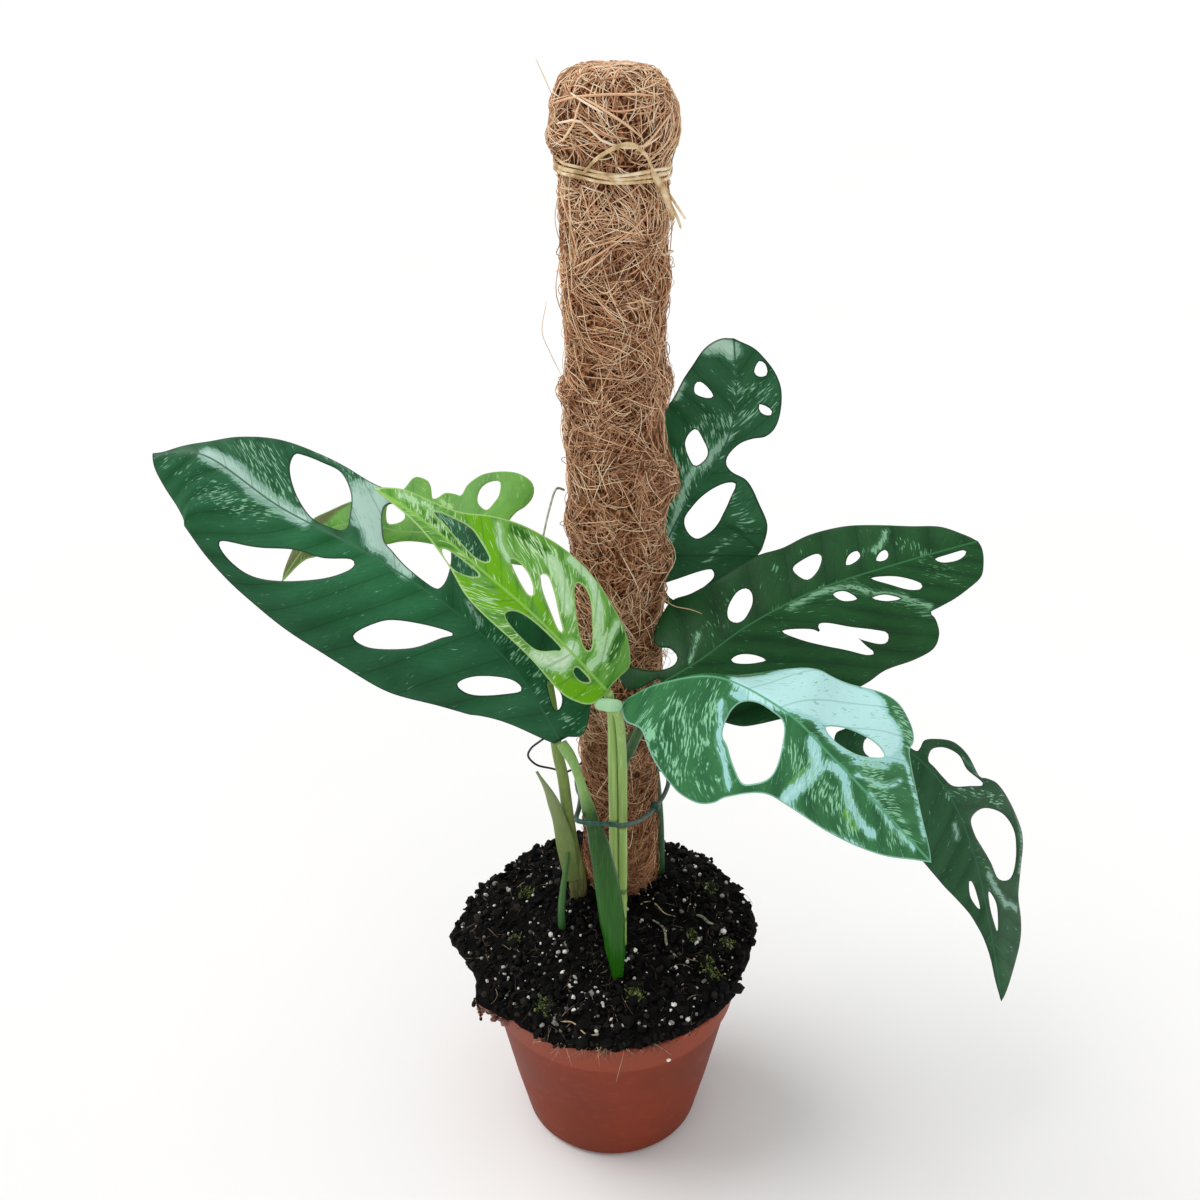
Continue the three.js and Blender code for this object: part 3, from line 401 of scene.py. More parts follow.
def stand_for(piece: bpy.types.Object, node: str) -> bpy.types.Object:
    """Ties a finished piece to the root body and hides the CAD node whose place it takes."""
    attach(piece, "root")
    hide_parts(node)
    return piece


class Graph:
    """A material's node tree, with the steps that the finishes share."""

    def __init__(self, name: str, roughness: float, ior: float, level: float) -> None:
        """Opens the material.

        Args:
            name: Its name.
            roughness: Micro-roughness before any pattern drives it.
            ior: Index of refraction.
            level: Specular level, 0.5 for the plain value.
        """
        self.material = bpy.data.materials.new(name)
        self.material.use_nodes = True
        self.tree = self.material.node_tree
        self.shader = self.tree.nodes["Principled BSDF"]
        self.shader.inputs["Roughness"].default_value = roughness
        self.shader.inputs["IOR"].default_value = ior
        self.shader.inputs["Specular IOR Level"].default_value = level

    def node(self, kind: str, settings: dict | None = None, links: dict | None = None) -> bpy.types.Node:
        """Adds a node to this tree."""
        return add_node(self.tree, kind, settings, links)

    def attribute(self, name: str, output: str = "Fac") -> Socket:
        """What the piece's vertices hold under a name."""
        return self.node("ShaderNodeAttribute", {"attribute_name": name}).outputs[output]

    def coordinates(self) -> Socket:
        """Places on the piece in its own metres."""
        return self.node("ShaderNodeTexCoord").outputs["Object"]

    def split(self, triple: Socket) -> Sequence[Socket]:
        """The three numbers of a triple."""
        return self.node("ShaderNodeSeparateXYZ", {}, {0: triple}).outputs

    def calc(self, operation: str, *values: Socket | float) -> Socket:
        """Works a number out from sockets and numbers, taken in order."""
        settings, links = {"operation": operation}, {}
        for index, value in enumerate(values):
            (settings if isinstance(value, (int, float)) else links)[index] = value
        return self.node("ShaderNodeMath", settings, links).outputs[0]

    def ramp(self, value: Socket, stops: Sequence[tuple[float, str]]) -> Socket:
        """Turns a value into the colours that lie at places from 0 to 1."""
        return self.node("ShaderNodeValToRGB", {"stops": stops}, {0: value}).outputs[0]

    def rescaled(self, value: Socket, old: Point, new: Point) -> Socket:
        """Takes a value from one range to another."""
        settings = dict(zip(("From Min", "From Max", "To Min", "To Max"), (*old, *new)))
        return self.node("ShaderNodeMapRange", settings, {0: value}).outputs[0]

    def mask(self, value: Socket, low: float, high: float, top: float = 1.0) -> Socket:
        """Eases a value into a mask, which is 0 at low and top at high."""
        settings = {"interpolation_type": "SMOOTHSTEP", "From Min": low, "From Max": high, "To Max": top}
        return self.node("ShaderNodeMapRange", settings, {0: value}).outputs[0]

    def paint(self, ground: Socket, share: Socket, colour: str) -> Socket:
        """Lays an sRGB hex colour over what is beneath, as far as share says."""
        settings = {"data_type": "RGBA", 7: linear(colour)}
        return self.node("ShaderNodeMix", settings, {0: share, 6: ground}).outputs[2]

    def noise(self, place: Socket, size: Point | float, detail: float) -> Socket:
        """Noise whose grain has a real size.

        Args:
            place: The coordinates read.
            size: The grain's size in the coordinates' own unit, all round or by axis.
            detail: Octaves.

        Returns:
            The noise, from about 0.25 to 0.75.
        """
        scale = tuple(1 / width for width in (size if isinstance(size, tuple) else (size,) * 3))
        scaled = self.node("ShaderNodeMapping", {"Scale": scale}, {0: place}).outputs[0]
        texture = self.node("ShaderNodeTexNoise", {"Scale": 1.0, "Detail": detail}, {"Vector": scaled})
        return texture.outputs[0]

    def close(
        self, colour: Socket, height: Socket, strength: float, depth: float, rough: Socket | None = None,
    ) -> bpy.types.Material:
        """Joins the colour, a bump and the roughness to the shader.

        Args:
            colour: The base colour.
            height: What the bump reads.
            strength: How strong the bump is.
            depth: How far it stands out, in metres.
            rough: The roughness, where a pattern drives it.

        Returns:
            The material.
        """
        bump = self.node("ShaderNodeBump", {"Strength": strength, "Distance": depth}, {"Height": height})
        self.tree.links.new(colour, self.shader.inputs["Base Color"])
        self.tree.links.new(bump.outputs[0], self.shader.inputs["Normal"])
        if rough is not None:
            self.tree.links.new(rough, self.shader.inputs["Roughness"])
        return self.material


@dataclass(frozen=True)
class Finish:
    """What every finish has: a name, and one material."""

    name: str

    def material(self) -> bpy.types.Material:
        """The finish's material, made once."""
        return bpy.data.materials.get(self.name) or self.make()

    def make(self) -> bpy.types.Material:
        """Builds the material."""
        raise NotImplementedError


@dataclass(frozen=True)
class MarbledLeaf(Finish):
    """Waxy aroid leaf, satin on top, whose sectors without green run along its side veins.

    It reads four attributes of the blade: flow, how far along the midrib a point's side vein
    starts and how far out the point is; flat, its place on the flat blade; kinds, its depth in
    the pale, lime and dark markings; soft, fleck density, painted light and shade, and distance
    from the rim. All are in millimetres, and the streaks are 0.5 to 3 mm wide and 5 to 20 mm long.
    """

    deep: str = "#0c451f"
    green: str = "#2a5c3b"
    middle: str = "#4f8068"
    pale: str = "#85ab9b"
    bright: str = "#a6c8ba"
    fleck: str = "#8cbf99"
    lime: str = "#6fae1c"
    dark: str = "#0a3219"
    rib: str = "#2f5f42"
    vein: str = "#08301a"
    rim: str = "#1d3b28"
    rib_width: float = 0.55
    vein_spacing: float = 13.0
    vein_strength: float = 0.35
    # Painted shade in the folds along the side veins
    painted_fold_shade: float = 0.22
    ragged: float = 1.5
    stray: float = 0.0
    islands: float = 1.0
    roughness: float = 0.4
    level: float = 0.22

    def underside(self) -> "MarbledLeaf":
        """The same marbling seen from below: paler and duller, with raised pale veins."""
        tints = ("deep", "green", "middle", "pale", "bright", "fleck", "lime", "dark", "rim")
        faded = {name: blend(getattr(self, name), "#86a884", 0.35) for name in tints}
        return replace(
            self, name=f"{self.name}, underside", **faded, rib=faded["fleck"], vein=faded["middle"],
            rib_width=1.1, roughness=0.55, level=0.3,
        )

    def layers(
        self, graph: Graph, ground: Socket, noises: dict[str, Socket], kinds: Sequence[Socket],
    ) -> Socket:
        """Lays the dark, lime and pale markings over the green, each with frayed, stepped edges.

        Args:
            graph: The material's nodes.
            ground: The green.
            noises: The streak noises by name.
            kinds: Depth in the pale, lime and dark markings.

        Returns:
            The marbled colour.
        """
        edge = 1.8 * self.ragged
        for source, outer, tint, core in (
            (kinds[2], self.dark, self.dark, self.dark),
            (kinds[1], self.lime, self.lime, self.lime),
            (kinds[0], self.middle, self.pale, self.bright),
        ):
            frayed = graph.calc("MULTIPLY_ADD", noises["ragged"], 2 * self.ragged, source)
            frayed = graph.calc("MULTIPLY_ADD", noises["fine"], 1.6 * self.ragged, frayed)
            holes = graph.mask(noises["island"], 0.60, 0.67, self.islands * self.ragged)
            frayed = graph.calc("SUBTRACT", frayed, holes)
            ground = graph.paint(ground, graph.mask(frayed, edge - 1.2, edge - 0.7, 0.55), outer)
            ground = graph.paint(ground, graph.mask(frayed, edge - 0.2, edge + 0.2), tint)
            ground = graph.paint(ground, graph.mask(frayed, edge + 0.8, edge + 2.6), core)
        return ground

    def make(self) -> bpy.types.Material:
        """Builds the material.

        Returns:
            The material of the upper side.
        """
        # IOR 1.45 and roughness 0.4: a waxed cuticle, whose specular level is cut by its bloom
        graph = Graph(self.name, self.roughness, 1.45, self.level)
        names = ("flow", "flat", "kinds", "soft")
        flow, flat, kinds, soft = (graph.attribute(name, "Vector") for name in names)
        density, painted_light_shade, from_rim = graph.split(soft)
        # The streaks wander off the side veins by a few millimetres over 35 mm
        wander = graph.node("ShaderNodeTexNoise", {"Scale": 1 / 35, "Detail": 0}, {"Vector": flat})
        course = graph.node(
            "ShaderNodeVectorMath", {"operation": "MULTIPLY_ADD", 1: (22, 10, 0)},
            {0: wander.outputs["Color"], 2: flow},
        ).outputs[0]
        # Grain across and along the side veins in millimetres, and octaves
        grains = {
            "broad": (20, 34, 2), "ragged": (2.6, 11, 3.5), "fine": (0.75, 5, 2), "fleck": (0.8, 4.6, 3),
            "island": (1.6, 8, 3.5),
        }
        noises = {
            key: graph.noise(course, (wide, long, 1), detail) for key, (wide, long, detail) in grains.items()
        }
        # Painted shade: the skin is painted darker in the folds along the side veins
        side = graph.calc("PINGPONG", graph.split(flow)[0], self.vein_spacing / 2)
        fold_shade_and_tone = graph.calc("ADD", graph.mask(side, 0, self.vein_spacing / 2, self.painted_fold_shade), noises["broad"])
        ground = graph.ramp(fold_shade_and_tone, [(0.3, self.deep), (0.75, self.green)])
        ground = graph.paint(ground, graph.mask(noises["fine"], 0.35, 0.7, 0.3), self.deep)
        ground = self.layers(graph, ground, noises, graph.split(kinds))
        # Flecks show where the noise passes a height that falls with their density
        dense = graph.calc("MULTIPLY_ADD", density, 0.16, 0.16 * self.stray)
        peak = graph.calc("MULTIPLY_ADD", noises["ragged"], 0.35, graph.calc("ADD", dense, noises["fleck"]))
        ground = graph.paint(ground, graph.mask(peak, 0.83, 0.86, 0.45), self.middle)
        ground = graph.paint(ground, graph.mask(peak, 0.88, 0.93, 0.9), self.fleck)
        # Side veins, the midrib and the rim, as lines of real width
        middle = graph.calc("ABSOLUTE", graph.split(flat)[1])
        for distance, full, gone, colour, strength in (
            (side, 0.1, 0.6, self.vein, self.vein_strength),
            (middle, self.rib_width * 0.4, self.rib_width, self.rib, 0.9),
            (from_rim, 0.25, 0.8, self.rim, 0.9),
        ):
            ground = graph.paint(ground, graph.mask(distance, gone, full, strength), colour)
        # Painted light and shade: where the markings ask for it, the colour is lightened up to half again or
        # darkened down to half
        light = graph.rescaled(painted_light_shade, (-1, 1), (0.5, 1.5))
        ground = graph.node(
            "ShaderNodeMix", {"data_type": "RGBA", "blend_type": "MULTIPLY", 0: 1.0}, {6: ground, 7: light},
        ).outputs[2]
        gloss = graph.rescaled(noises["broad"], (0.3, 0.7), (self.roughness - 0.06, self.roughness + 0.1))
        # The cells between the finest veins, drawn at 0.8 mm so that they show
        cells = graph.node("ShaderNodeTexVoronoi", {"Scale": 1.25}, {"Vector": flow}).outputs[0]
        return graph.close(ground, cells, 0.2, 0.0002, gloss)


@dataclass(frozen=True)
class StalkSkin(Finish):
    """Smooth fleshy stalk with fine lengthwise veins, and colours that change from foot to top.

    stops are the shares of the length at which the three colours lie, and rings the shares at
    which a dark leaf scar runs round.
    """

    foot: str
    middle: str
    top: str
    stripe: str
    stops: tuple[float, float, float] = (0.0, 0.45, 0.85)
    rings: tuple[float, ...] = ()
    scar: str = "#42602a"
    stripe_amount: float = 0.4
    roughness: float = 0.38

    def make(self) -> bpy.types.Material:
        """Builds the material."""
        # IOR 1.45: living plant skin, moist, so a soft highlight runs down the stalk
        graph = Graph(self.name, self.roughness, 1.45, 0.3)
        run, place = graph.attribute("run"), graph.coordinates()
        # Veins 0.7 mm apart and some 25 mm long, and blotches 12 mm across
        lines = graph.noise(place, (0.7 * MM, 0.7 * MM, 25 * MM), 3)
        blotch = graph.noise(place, 12 * MM, 3)
        shifted = graph.calc("ADD", graph.calc("MULTIPLY_ADD", blotch, 0.24, -0.12), run)
        body = graph.ramp(shifted, list(zip(self.stops, (self.foot, self.middle, self.top))))
        body = graph.paint(body, graph.mask(lines, 0.48, 0.62, self.stripe_amount), self.stripe)
        for share in self.rings:
            off = graph.calc("ABSOLUTE", graph.calc("SUBTRACT", run, share))
            body = graph.paint(body, graph.mask(off, 0.011, 0.003, 0.8), self.scar)
        return graph.close(body, lines, 0.35, 0.0003)


@dataclass(frozen=True)
class Mottled(Finish):
    """A finish of two or more colours broken up by one noise, with a bump at the same scale.

    size is the noise's grain in millimetres, and stretch makes it longer along Z. With tone,
    each bit takes its own place among the colours from its vertices.
    """

    colours: tuple[str, ...]
    size: float
    stretch: float = 1.0
    spread: tuple[float, float] = (0.35, 0.65)
    roughness: float = 0.8
    ior: float = 1.45
    level: float = 0.5
    relief: float = 0.2
    tone: bool = False

    def make(self) -> bpy.types.Material:
        """Builds the material."""
        graph = Graph(self.name, self.roughness, self.ior, self.level)
        width = self.size * MM
        speck = graph.noise(graph.coordinates(), (width, width, width * self.stretch), 4)
        key = speck
        if self.tone:
            key = graph.calc("ADD", graph.calc("MULTIPLY_ADD", speck, 0.35, -0.175), graph.attribute("tone"))
        low, high = self.spread
        step = (high - low) / (len(self.colours) - 1)
        paint = graph.ramp(key, [(low + k * step, colour) for k, colour in enumerate(self.colours)])
        rough = graph.rescaled(speck, (0, 1), (max(self.roughness - 0.1, 0.05), min(self.roughness + 0.1, 1)))
        return graph.close(paint, speck, 0.6, self.relief * MM, rough)


@dataclass(frozen=True)
class PotPlastic(Finish):
    """Injection-moulded polypropylene in terracotta brown, satin, dusted with peat near the rim."""

    colour: str = "#853720"
    shade: str = "#712d1b"
    dust: str = "#43251c"
    scuff: str = "#904530"
    band_tint: str = "#a3553f"

    def make(self) -> bpy.types.Material:
        """Builds the material."""
        # IOR 1.49 and roughness 0.55: polypropylene out of a satin mould
        graph = Graph(self.name, 0.55, 1.49, 0.1)
        place = graph.coordinates()
        height = graph.split(place)[2]
        # Clouds 40 mm across where the pot was handled, faint scuffs 6 mm across, specks of peat 2 mm across
        cloud = graph.noise(place, 40 * MM, 4)
        rubbed = graph.noise(place, (6 * MM, 6 * MM, 5 * MM), 3)
        speck = graph.noise(place, 2 * MM, 3)
        body = graph.ramp(cloud, [(0.3, self.shade), (0.7, self.colour)])
        body = graph.paint(body, graph.mask(rubbed, 0.5, 0.75, 0.3), self.scuff)
        # The thicker rim band, the top 18 mm, is made paler, and peat clings just under the rim
        body = graph.paint(body, graph.mask(height, 0.074, 0.08, 0.4), self.band_tint)
        dusty = graph.calc("ADD", graph.rescaled(height, (0.084, 0.096), (0, 0.2)), speck)
        body = graph.paint(body, graph.mask(dusty, 0.68, 0.82, 0.5), self.dust)
        return graph.close(body, speck, 0.1, 0.0002, graph.rescaled(cloud, (0.3, 0.7), (0.5, 0.6)))


class Mark(Enum):
    """How a marking changes the green of a blade, and its column among the depths."""

    PALE = 0
    LIME = 1
    DARK = 2
    FLECKS = 3
    # Painted light where its strength is positive, painted shade where it is negative
    PAINTED_LIGHT_AND_SHADE = 4


def line_distance(points: np.ndarray, line: np.ndarray) -> np.ndarray:
    """Distance of flat points from a line of straight steps."""
    nearest = np.full(len(points), np.inf)
    for a, b in zip(line, line[1:]):
        way = b - a
        share = np.clip(((points - a) @ way) / max(way @ way, 1e-9), 0, 1)
        nearest = np.minimum(nearest, np.linalg.norm(points - a - share[:, None] * way, axis=1))
    return nearest


@dataclass
class LeafBlade:
    """A blade drawn flat, then bent, veined and marked.

    u runs along the midrib from the petiole and v across it, plus side first, in millimetres.
    The rib, lifts in degrees, curls in degrees per millimetre and outlines are the CAD's own,
    but a few windows of leaf E and the base of leaf G are drawn closer to the photo. slopes
    give how far a side vein runs towards the tip per millimetre outwards, at the base and at
    the tip, for the plus and the minus side. A marking is a stroke whose edge the finish
    frays: half of its width, its strength, which darkens where it is negative, and its middle.
    """

    name: str
    finish: MarbledLeaf
    facing: Point
    plus_lift: list[float]
    minus_lift: list[float]
    plus_curl: float
    minus_curl: float
    rib: Outline
    plus_edge: Outline
    minus_edge: Outline
    plus_windows: list[Outline]
    minus_windows: list[Outline]
    markings: dict[Mark, list[tuple[float, float, Outline]]]
    evenness: float = 0.0
    slopes: tuple[float, float, float, float] = (0.25, 1.5, 0.25, 1.5)
    step: float = 1.6
    edge_step: float = 1.4
    thick: float = 0.6
    groove: float = 0.6
    quilting: float = 0.14
    waves: float = 0.5
    deepest: float = 6.0

    def __post_init__(self) -> None:
        """Works out the midrib and the closed outlines."""
        self.line = SmoothLine(self.rib)
        self.chord = unit(self.line.point(np.array([1.0])) - self.line.point(np.array([0.0])))
        other = [(u, -v) for u, v in reversed(self.minus_edge)]
        sides = [SmoothLine(edge).spaced(self.edge_step, 6) for edge in (self.plus_edge, other)]
        windows = self.plus_windows + [[(u, -v) for u, v in ring] for ring in self.minus_windows]
        holes = [SmoothLine(ring, True).spaced(self.edge_step, 8) for ring in windows]
        self.loops = [np.vstack(sides), *holes]

    def within(self, points: np.ndarray) -> np.ndarray:
        """Tells which flat points lie on the blade, by counting the outlines crossed."""
        odd = np.zeros(len(points), bool)
        x, y = points.T
        for loop in self.loops:
            for (xa, ya), (xb, yb) in zip(loop, np.roll(loop, 1, axis=0)):
                if ya != yb:
                    odd ^= ((ya > y) != (yb > y)) & (x < (xb - xa) * (y - ya) / (yb - ya) + xa)
        return odd

    def rim_distance(self, points: np.ndarray) -> np.ndarray:
        """Distance of flat points from the nearest outline."""
        return np.min([line_distance(points, np.vstack([loop, loop[:1]])) for loop in self.loops], axis=0)

    def inset_ring(self, loop: np.ndarray) -> np.ndarray:
        """Points on both sides of an outline, of which those on the blade are kept."""
        way = unit(np.roll(loop, -1, axis=0) - np.roll(loop, 1, axis=0))
        normal = np.stack([-way[:, 1], way[:, 0]], -1) * 0.55 * self.step
        return np.vstack([loop + normal, loop - normal])

    def flat_mesh(self) -> tuple[np.ndarray, list[list[int]]]:
        """Fills the outlines with a lattice of near even triangles.

        Returns:
            The flat points, and the corners of each triangle.
        """
        edges, points = [], []
        for loop in self.loops:
            start = len(points)
            points += [tuple(p) for p in loop]
            edges += [(start + k, start + (k + 1) % len(loop)) for k in range(len(loop))]
        rows = []
        pitch = self.step * 0.87
        low, high = self.loops[0].min(0), self.loops[0].max(0)
        for row in range(math.floor(low[1] / pitch), math.ceil(high[1] / pitch) + 1):
            across = np.arange(low[0], high[0], self.step) + (row % 2) * self.step / 2
            rows.append(np.stack([across, np.full(len(across), row * pitch)], -1))
        # A ring of points just inside every outline keeps the rim smooth
        inset = np.vstack([self.inset_ring(loop) for loop in self.loops])
        for group, clear in ((inset, 0.35), (np.vstack(rows), 1.1)):
            group = group[self.within(group)]
            points += [tuple(p) for p in group[self.rim_distance(group) > clear * self.step]]
        filled = geometry.delaunay_2d_cdt([Vector(p) for p in points], edges, [], 0, 1e-5, False)
        corners = np.array([tuple(p) for p in filled[0]])
        triangles = np.array([list(face) for face in filled[2]])
        triangles = triangles[self.within(corners[triangles].mean(1))]
        used = np.unique(triangles)
        order = np.full(len(corners), -1)
        order[used] = np.arange(len(used))
        return corners[used], order[triangles].tolist()

    def bent(self, flat: np.ndarray) -> np.ndarray:
        """Places in space of flat points, on the CAD blade's middle surface."""
        u, v = flat.T
        t = np.clip(u / self.line.length, 0, 1)
        tangent = self.line.tangent(t)
        place = self.line.point(t) + tangent * (u - t * self.line.length)[:, None]
        course = unit(tangent * (1 - self.evenness) + self.chord * self.evenness)
        across = unit(np.cross(unit(np.array(self.facing)), course))
        out = np.cross(course, across)
        plus = v >= 0
        lift = np.radians(np.where(plus, eased(self.plus_lift, t), eased(self.minus_lift, t)))
        curl = np.radians(np.where(plus, self.plus_curl, self.minus_curl))
        curl = np.where(np.abs(curl) < 1e-6, 1e-6, curl)
        end = lift + curl * np.abs(v)
        sideways = np.sign(v) * (np.sin(end) - np.sin(lift)) / curl
        upwards = (np.cos(lift) - np.cos(end)) / curl
        return place + across * sideways[:, None] + out * upwards[:, None]

    def flow(self, flat: np.ndarray) -> np.ndarray:
        """Place along the midrib where a point's side vein starts, and distance along it."""
        u, v = flat.T
        t = np.clip(u / self.line.length, 0, 1)
        base, tip = (np.where(v >= 0, self.slopes[k], self.slopes[k + 2]) for k in (0, 1))
        slope = base + (tip - base) * t
        return np.stack([u - np.abs(v) * slope, v * np.hypot(1, slope), np.zeros(len(u))], -1)

    def relief(self, flat: np.ndarray, flow: np.ndarray, rim: np.ndarray) -> np.ndarray:
        """Height over the middle surface: sunk veins, quilted skin between them, slow waves."""
        u, v = flat.T
        spacing = self.finish.vein_spacing
        phase = flow[:, 0] / spacing
        from_vein = np.abs(phase - np.round(phase)) * spacing
        away = smoothstep(0.6, 4, np.abs(v)) * smoothstep(0.2, 3.5, rim)
        height = -self.groove * np.exp(-((v / 1.1) ** 2))
        height += 0.6 * self.groove * (1 - np.exp(-((v / 4) ** 2))) * np.exp(-((v / 9) ** 2))
        height += away * self.quilting * (np.abs(np.sin(np.pi * phase)) - 0.6)
        height -= away * 0.12 * np.exp(-((from_vein / 0.55) ** 2))
        height += away * 0.1 * lumps(flow[:, 0], flow[:, 1], 1.7)
        return height + self.waves * lumps(u, v, 0.11) * smoothstep(2, 26, np.abs(v))

    def depths(self, flat: np.ndarray) -> np.ndarray:
        """How deep each point lies in the markings.

        Args:
            flat: The flat points.

        Returns:
            A column for each kind: millimetres for pale, lime and dark, strength for the rest.
        """
        soft = (Mark.FLECKS, Mark.PAINTED_LIGHT_AND_SHADE)
        columns = []
        for kind in Mark:
            total = np.full(len(flat), 0.0 if kind in soft else -self.deepest)
            for width, strength, line in self.markings.get(kind, []):
                distance = line_distance(flat, np.array(line, float))
                if kind in soft:
                    total += strength * (1 - smoothstep(0.3, 1.3, distance / width))
                else:
                    depth = width - distance - 1.5 * (1 - strength)
                    total = np.maximum(total, np.clip(depth, -self.deepest, self.deepest))
            columns.append(np.clip(total, -1, 1) if kind in soft else total)
        return np.stack(columns, -1)

    def build(self) -> bpy.types.Object:
        """Makes the blade and dresses it.

        Returns:
            The blade, which takes the CAD blade's place.
        """
        flat, triangles = self.flat_mesh()
        flow = self.flow(flat)
        rim = self.rim_distance(flat)
        middle = self.bent(flat)
        piece = make_piece(f"{self.name}_blade", middle, triangles, self.finish.material())
        if float((normals(piece) @ np.array(self.facing)).mean()) < 0:
            piece.data.flip_normals()
        move_to(piece, middle + normals(piece) * self.relief(flat, flow, rim)[:, None])
        depths = self.depths(flat)
        mark(piece, "flat", np.column_stack([flat, np.zeros(len(flat))]))
        mark(piece, "flow", flow)
        mark(piece, "kinds", depths[:, :3])
        mark(piece, "soft", np.column_stack([depths[:, 3:], rim]))
        # Thin at the rim, and thickest along the midrib near the stalk
        along = 1 - 0.8 * np.clip(flat[:, 0] / self.line.length, 0, 1)
        body = 0.35 + 0.65 * smoothstep(0, 1.8, rim) + 1.4 * np.exp(-((flat[:, 1] / 1.5) ** 2)) * along
        thickest = 2.4
        group = piece.vertex_groups.new(name="thickness")
        for index, weight in enumerate(body / thickest):
            group.add([index], float(weight), "REPLACE")
        piece.data.materials.append(self.finish.underside().material())
        finish_by(
            piece, "SOLIDIFY", thickness=self.thick * thickest * MM, offset=0, vertex_group="thickness",
            use_even_offset=False, use_rim=True, material_offset=1,
        )
        piece.vertex_groups.clear()
        return stand_for(piece, self.name)


# Fully grown blades are blue-green and wax-bloomed, the young ones bright and glossier
OLD_BLADE = MarbledLeaf("leaf A, waxed dark green with marbling", deep="#0a4b22", green="#26643f")
YOUNG_BLADE = MarbledLeaf(
    "leaf B, soft young green with lime and mint", deep="#458725", green="#72ad49", middle="#90c475",
    pale="#b0dca8", bright="#d3efcc", fleck="#bde4ab", lime="#6cb00c", dark="#2f6c18", rib="#8fc955",
    vein="#35762a", rim="#a9d080", rib_width=0.9, vein_spacing=7, ragged=1.2, stray=0.4, islands=0.6,
    roughness=0.36,
)
BACK_BLADE = MarbledLeaf(
    "leaf C, bright green with an olive tip", deep="#468126", green="#66a339", middle="#76ad4c",
    pale="#96c575", bright="#a9cf8c", fleck="#86b566", lime="#6aa832", dark="#565c2c", rib="#74a848",
    vein="#386425", rim="#7fae58", stray=0.3,
)
SHADED_BLADE = MarbledLeaf(
    "leaf D, waxed green in the pole's shade", deep="#0f5026", green="#2f6842", middle="#5a9274",
    pale="#93bfa6", bright="#b9dcc8", fleck="#98cca6", rim="#1f3f2b",
)
# Leaf E has deeper painted shade in the folds along its side veins
RIGHT_BLADE = MarbledLeaf(
    "leaf E, waxed dark green with pale strips", deep="#083a16", green="#1f5328", middle="#42754f",
    pale="#7fb08a", bright="#a8d2ac", fleck="#6fa87a", rib="#3a7346", rib_width=0.5, rim="#1d4427",
    vein_spacing=15, painted_fold_shade=0.3,
)
PALE_BLADE = MarbledLeaf(
    "leaf F, half of it without green", deep="#215c34", green="#3a7c4a", middle="#6aa884", pale="#a3dbd6",
    bright="#c0efed", fleck="#96d4a8", lime="#6fb01c", rib="#5ea57c", vein="#2c6a48", rim="#93cdb4",
    rib_width=0.7, vein_strength=0.28, stray=0.2, islands=0.8,
)
HANGING_BLADE = MarbledLeaf(
    "leaf G, waxed green on a drooping blade", deep="#0c431e", green="#255633", middle="#4e7f64",
    pale="#86aa98", bright="#a4c6b6", fleck="#8ab99a", rim="#2b4335",
)

PALE, LIME, DARK, FLECKS, PAINTED_LIGHT_AND_SHADE = Mark


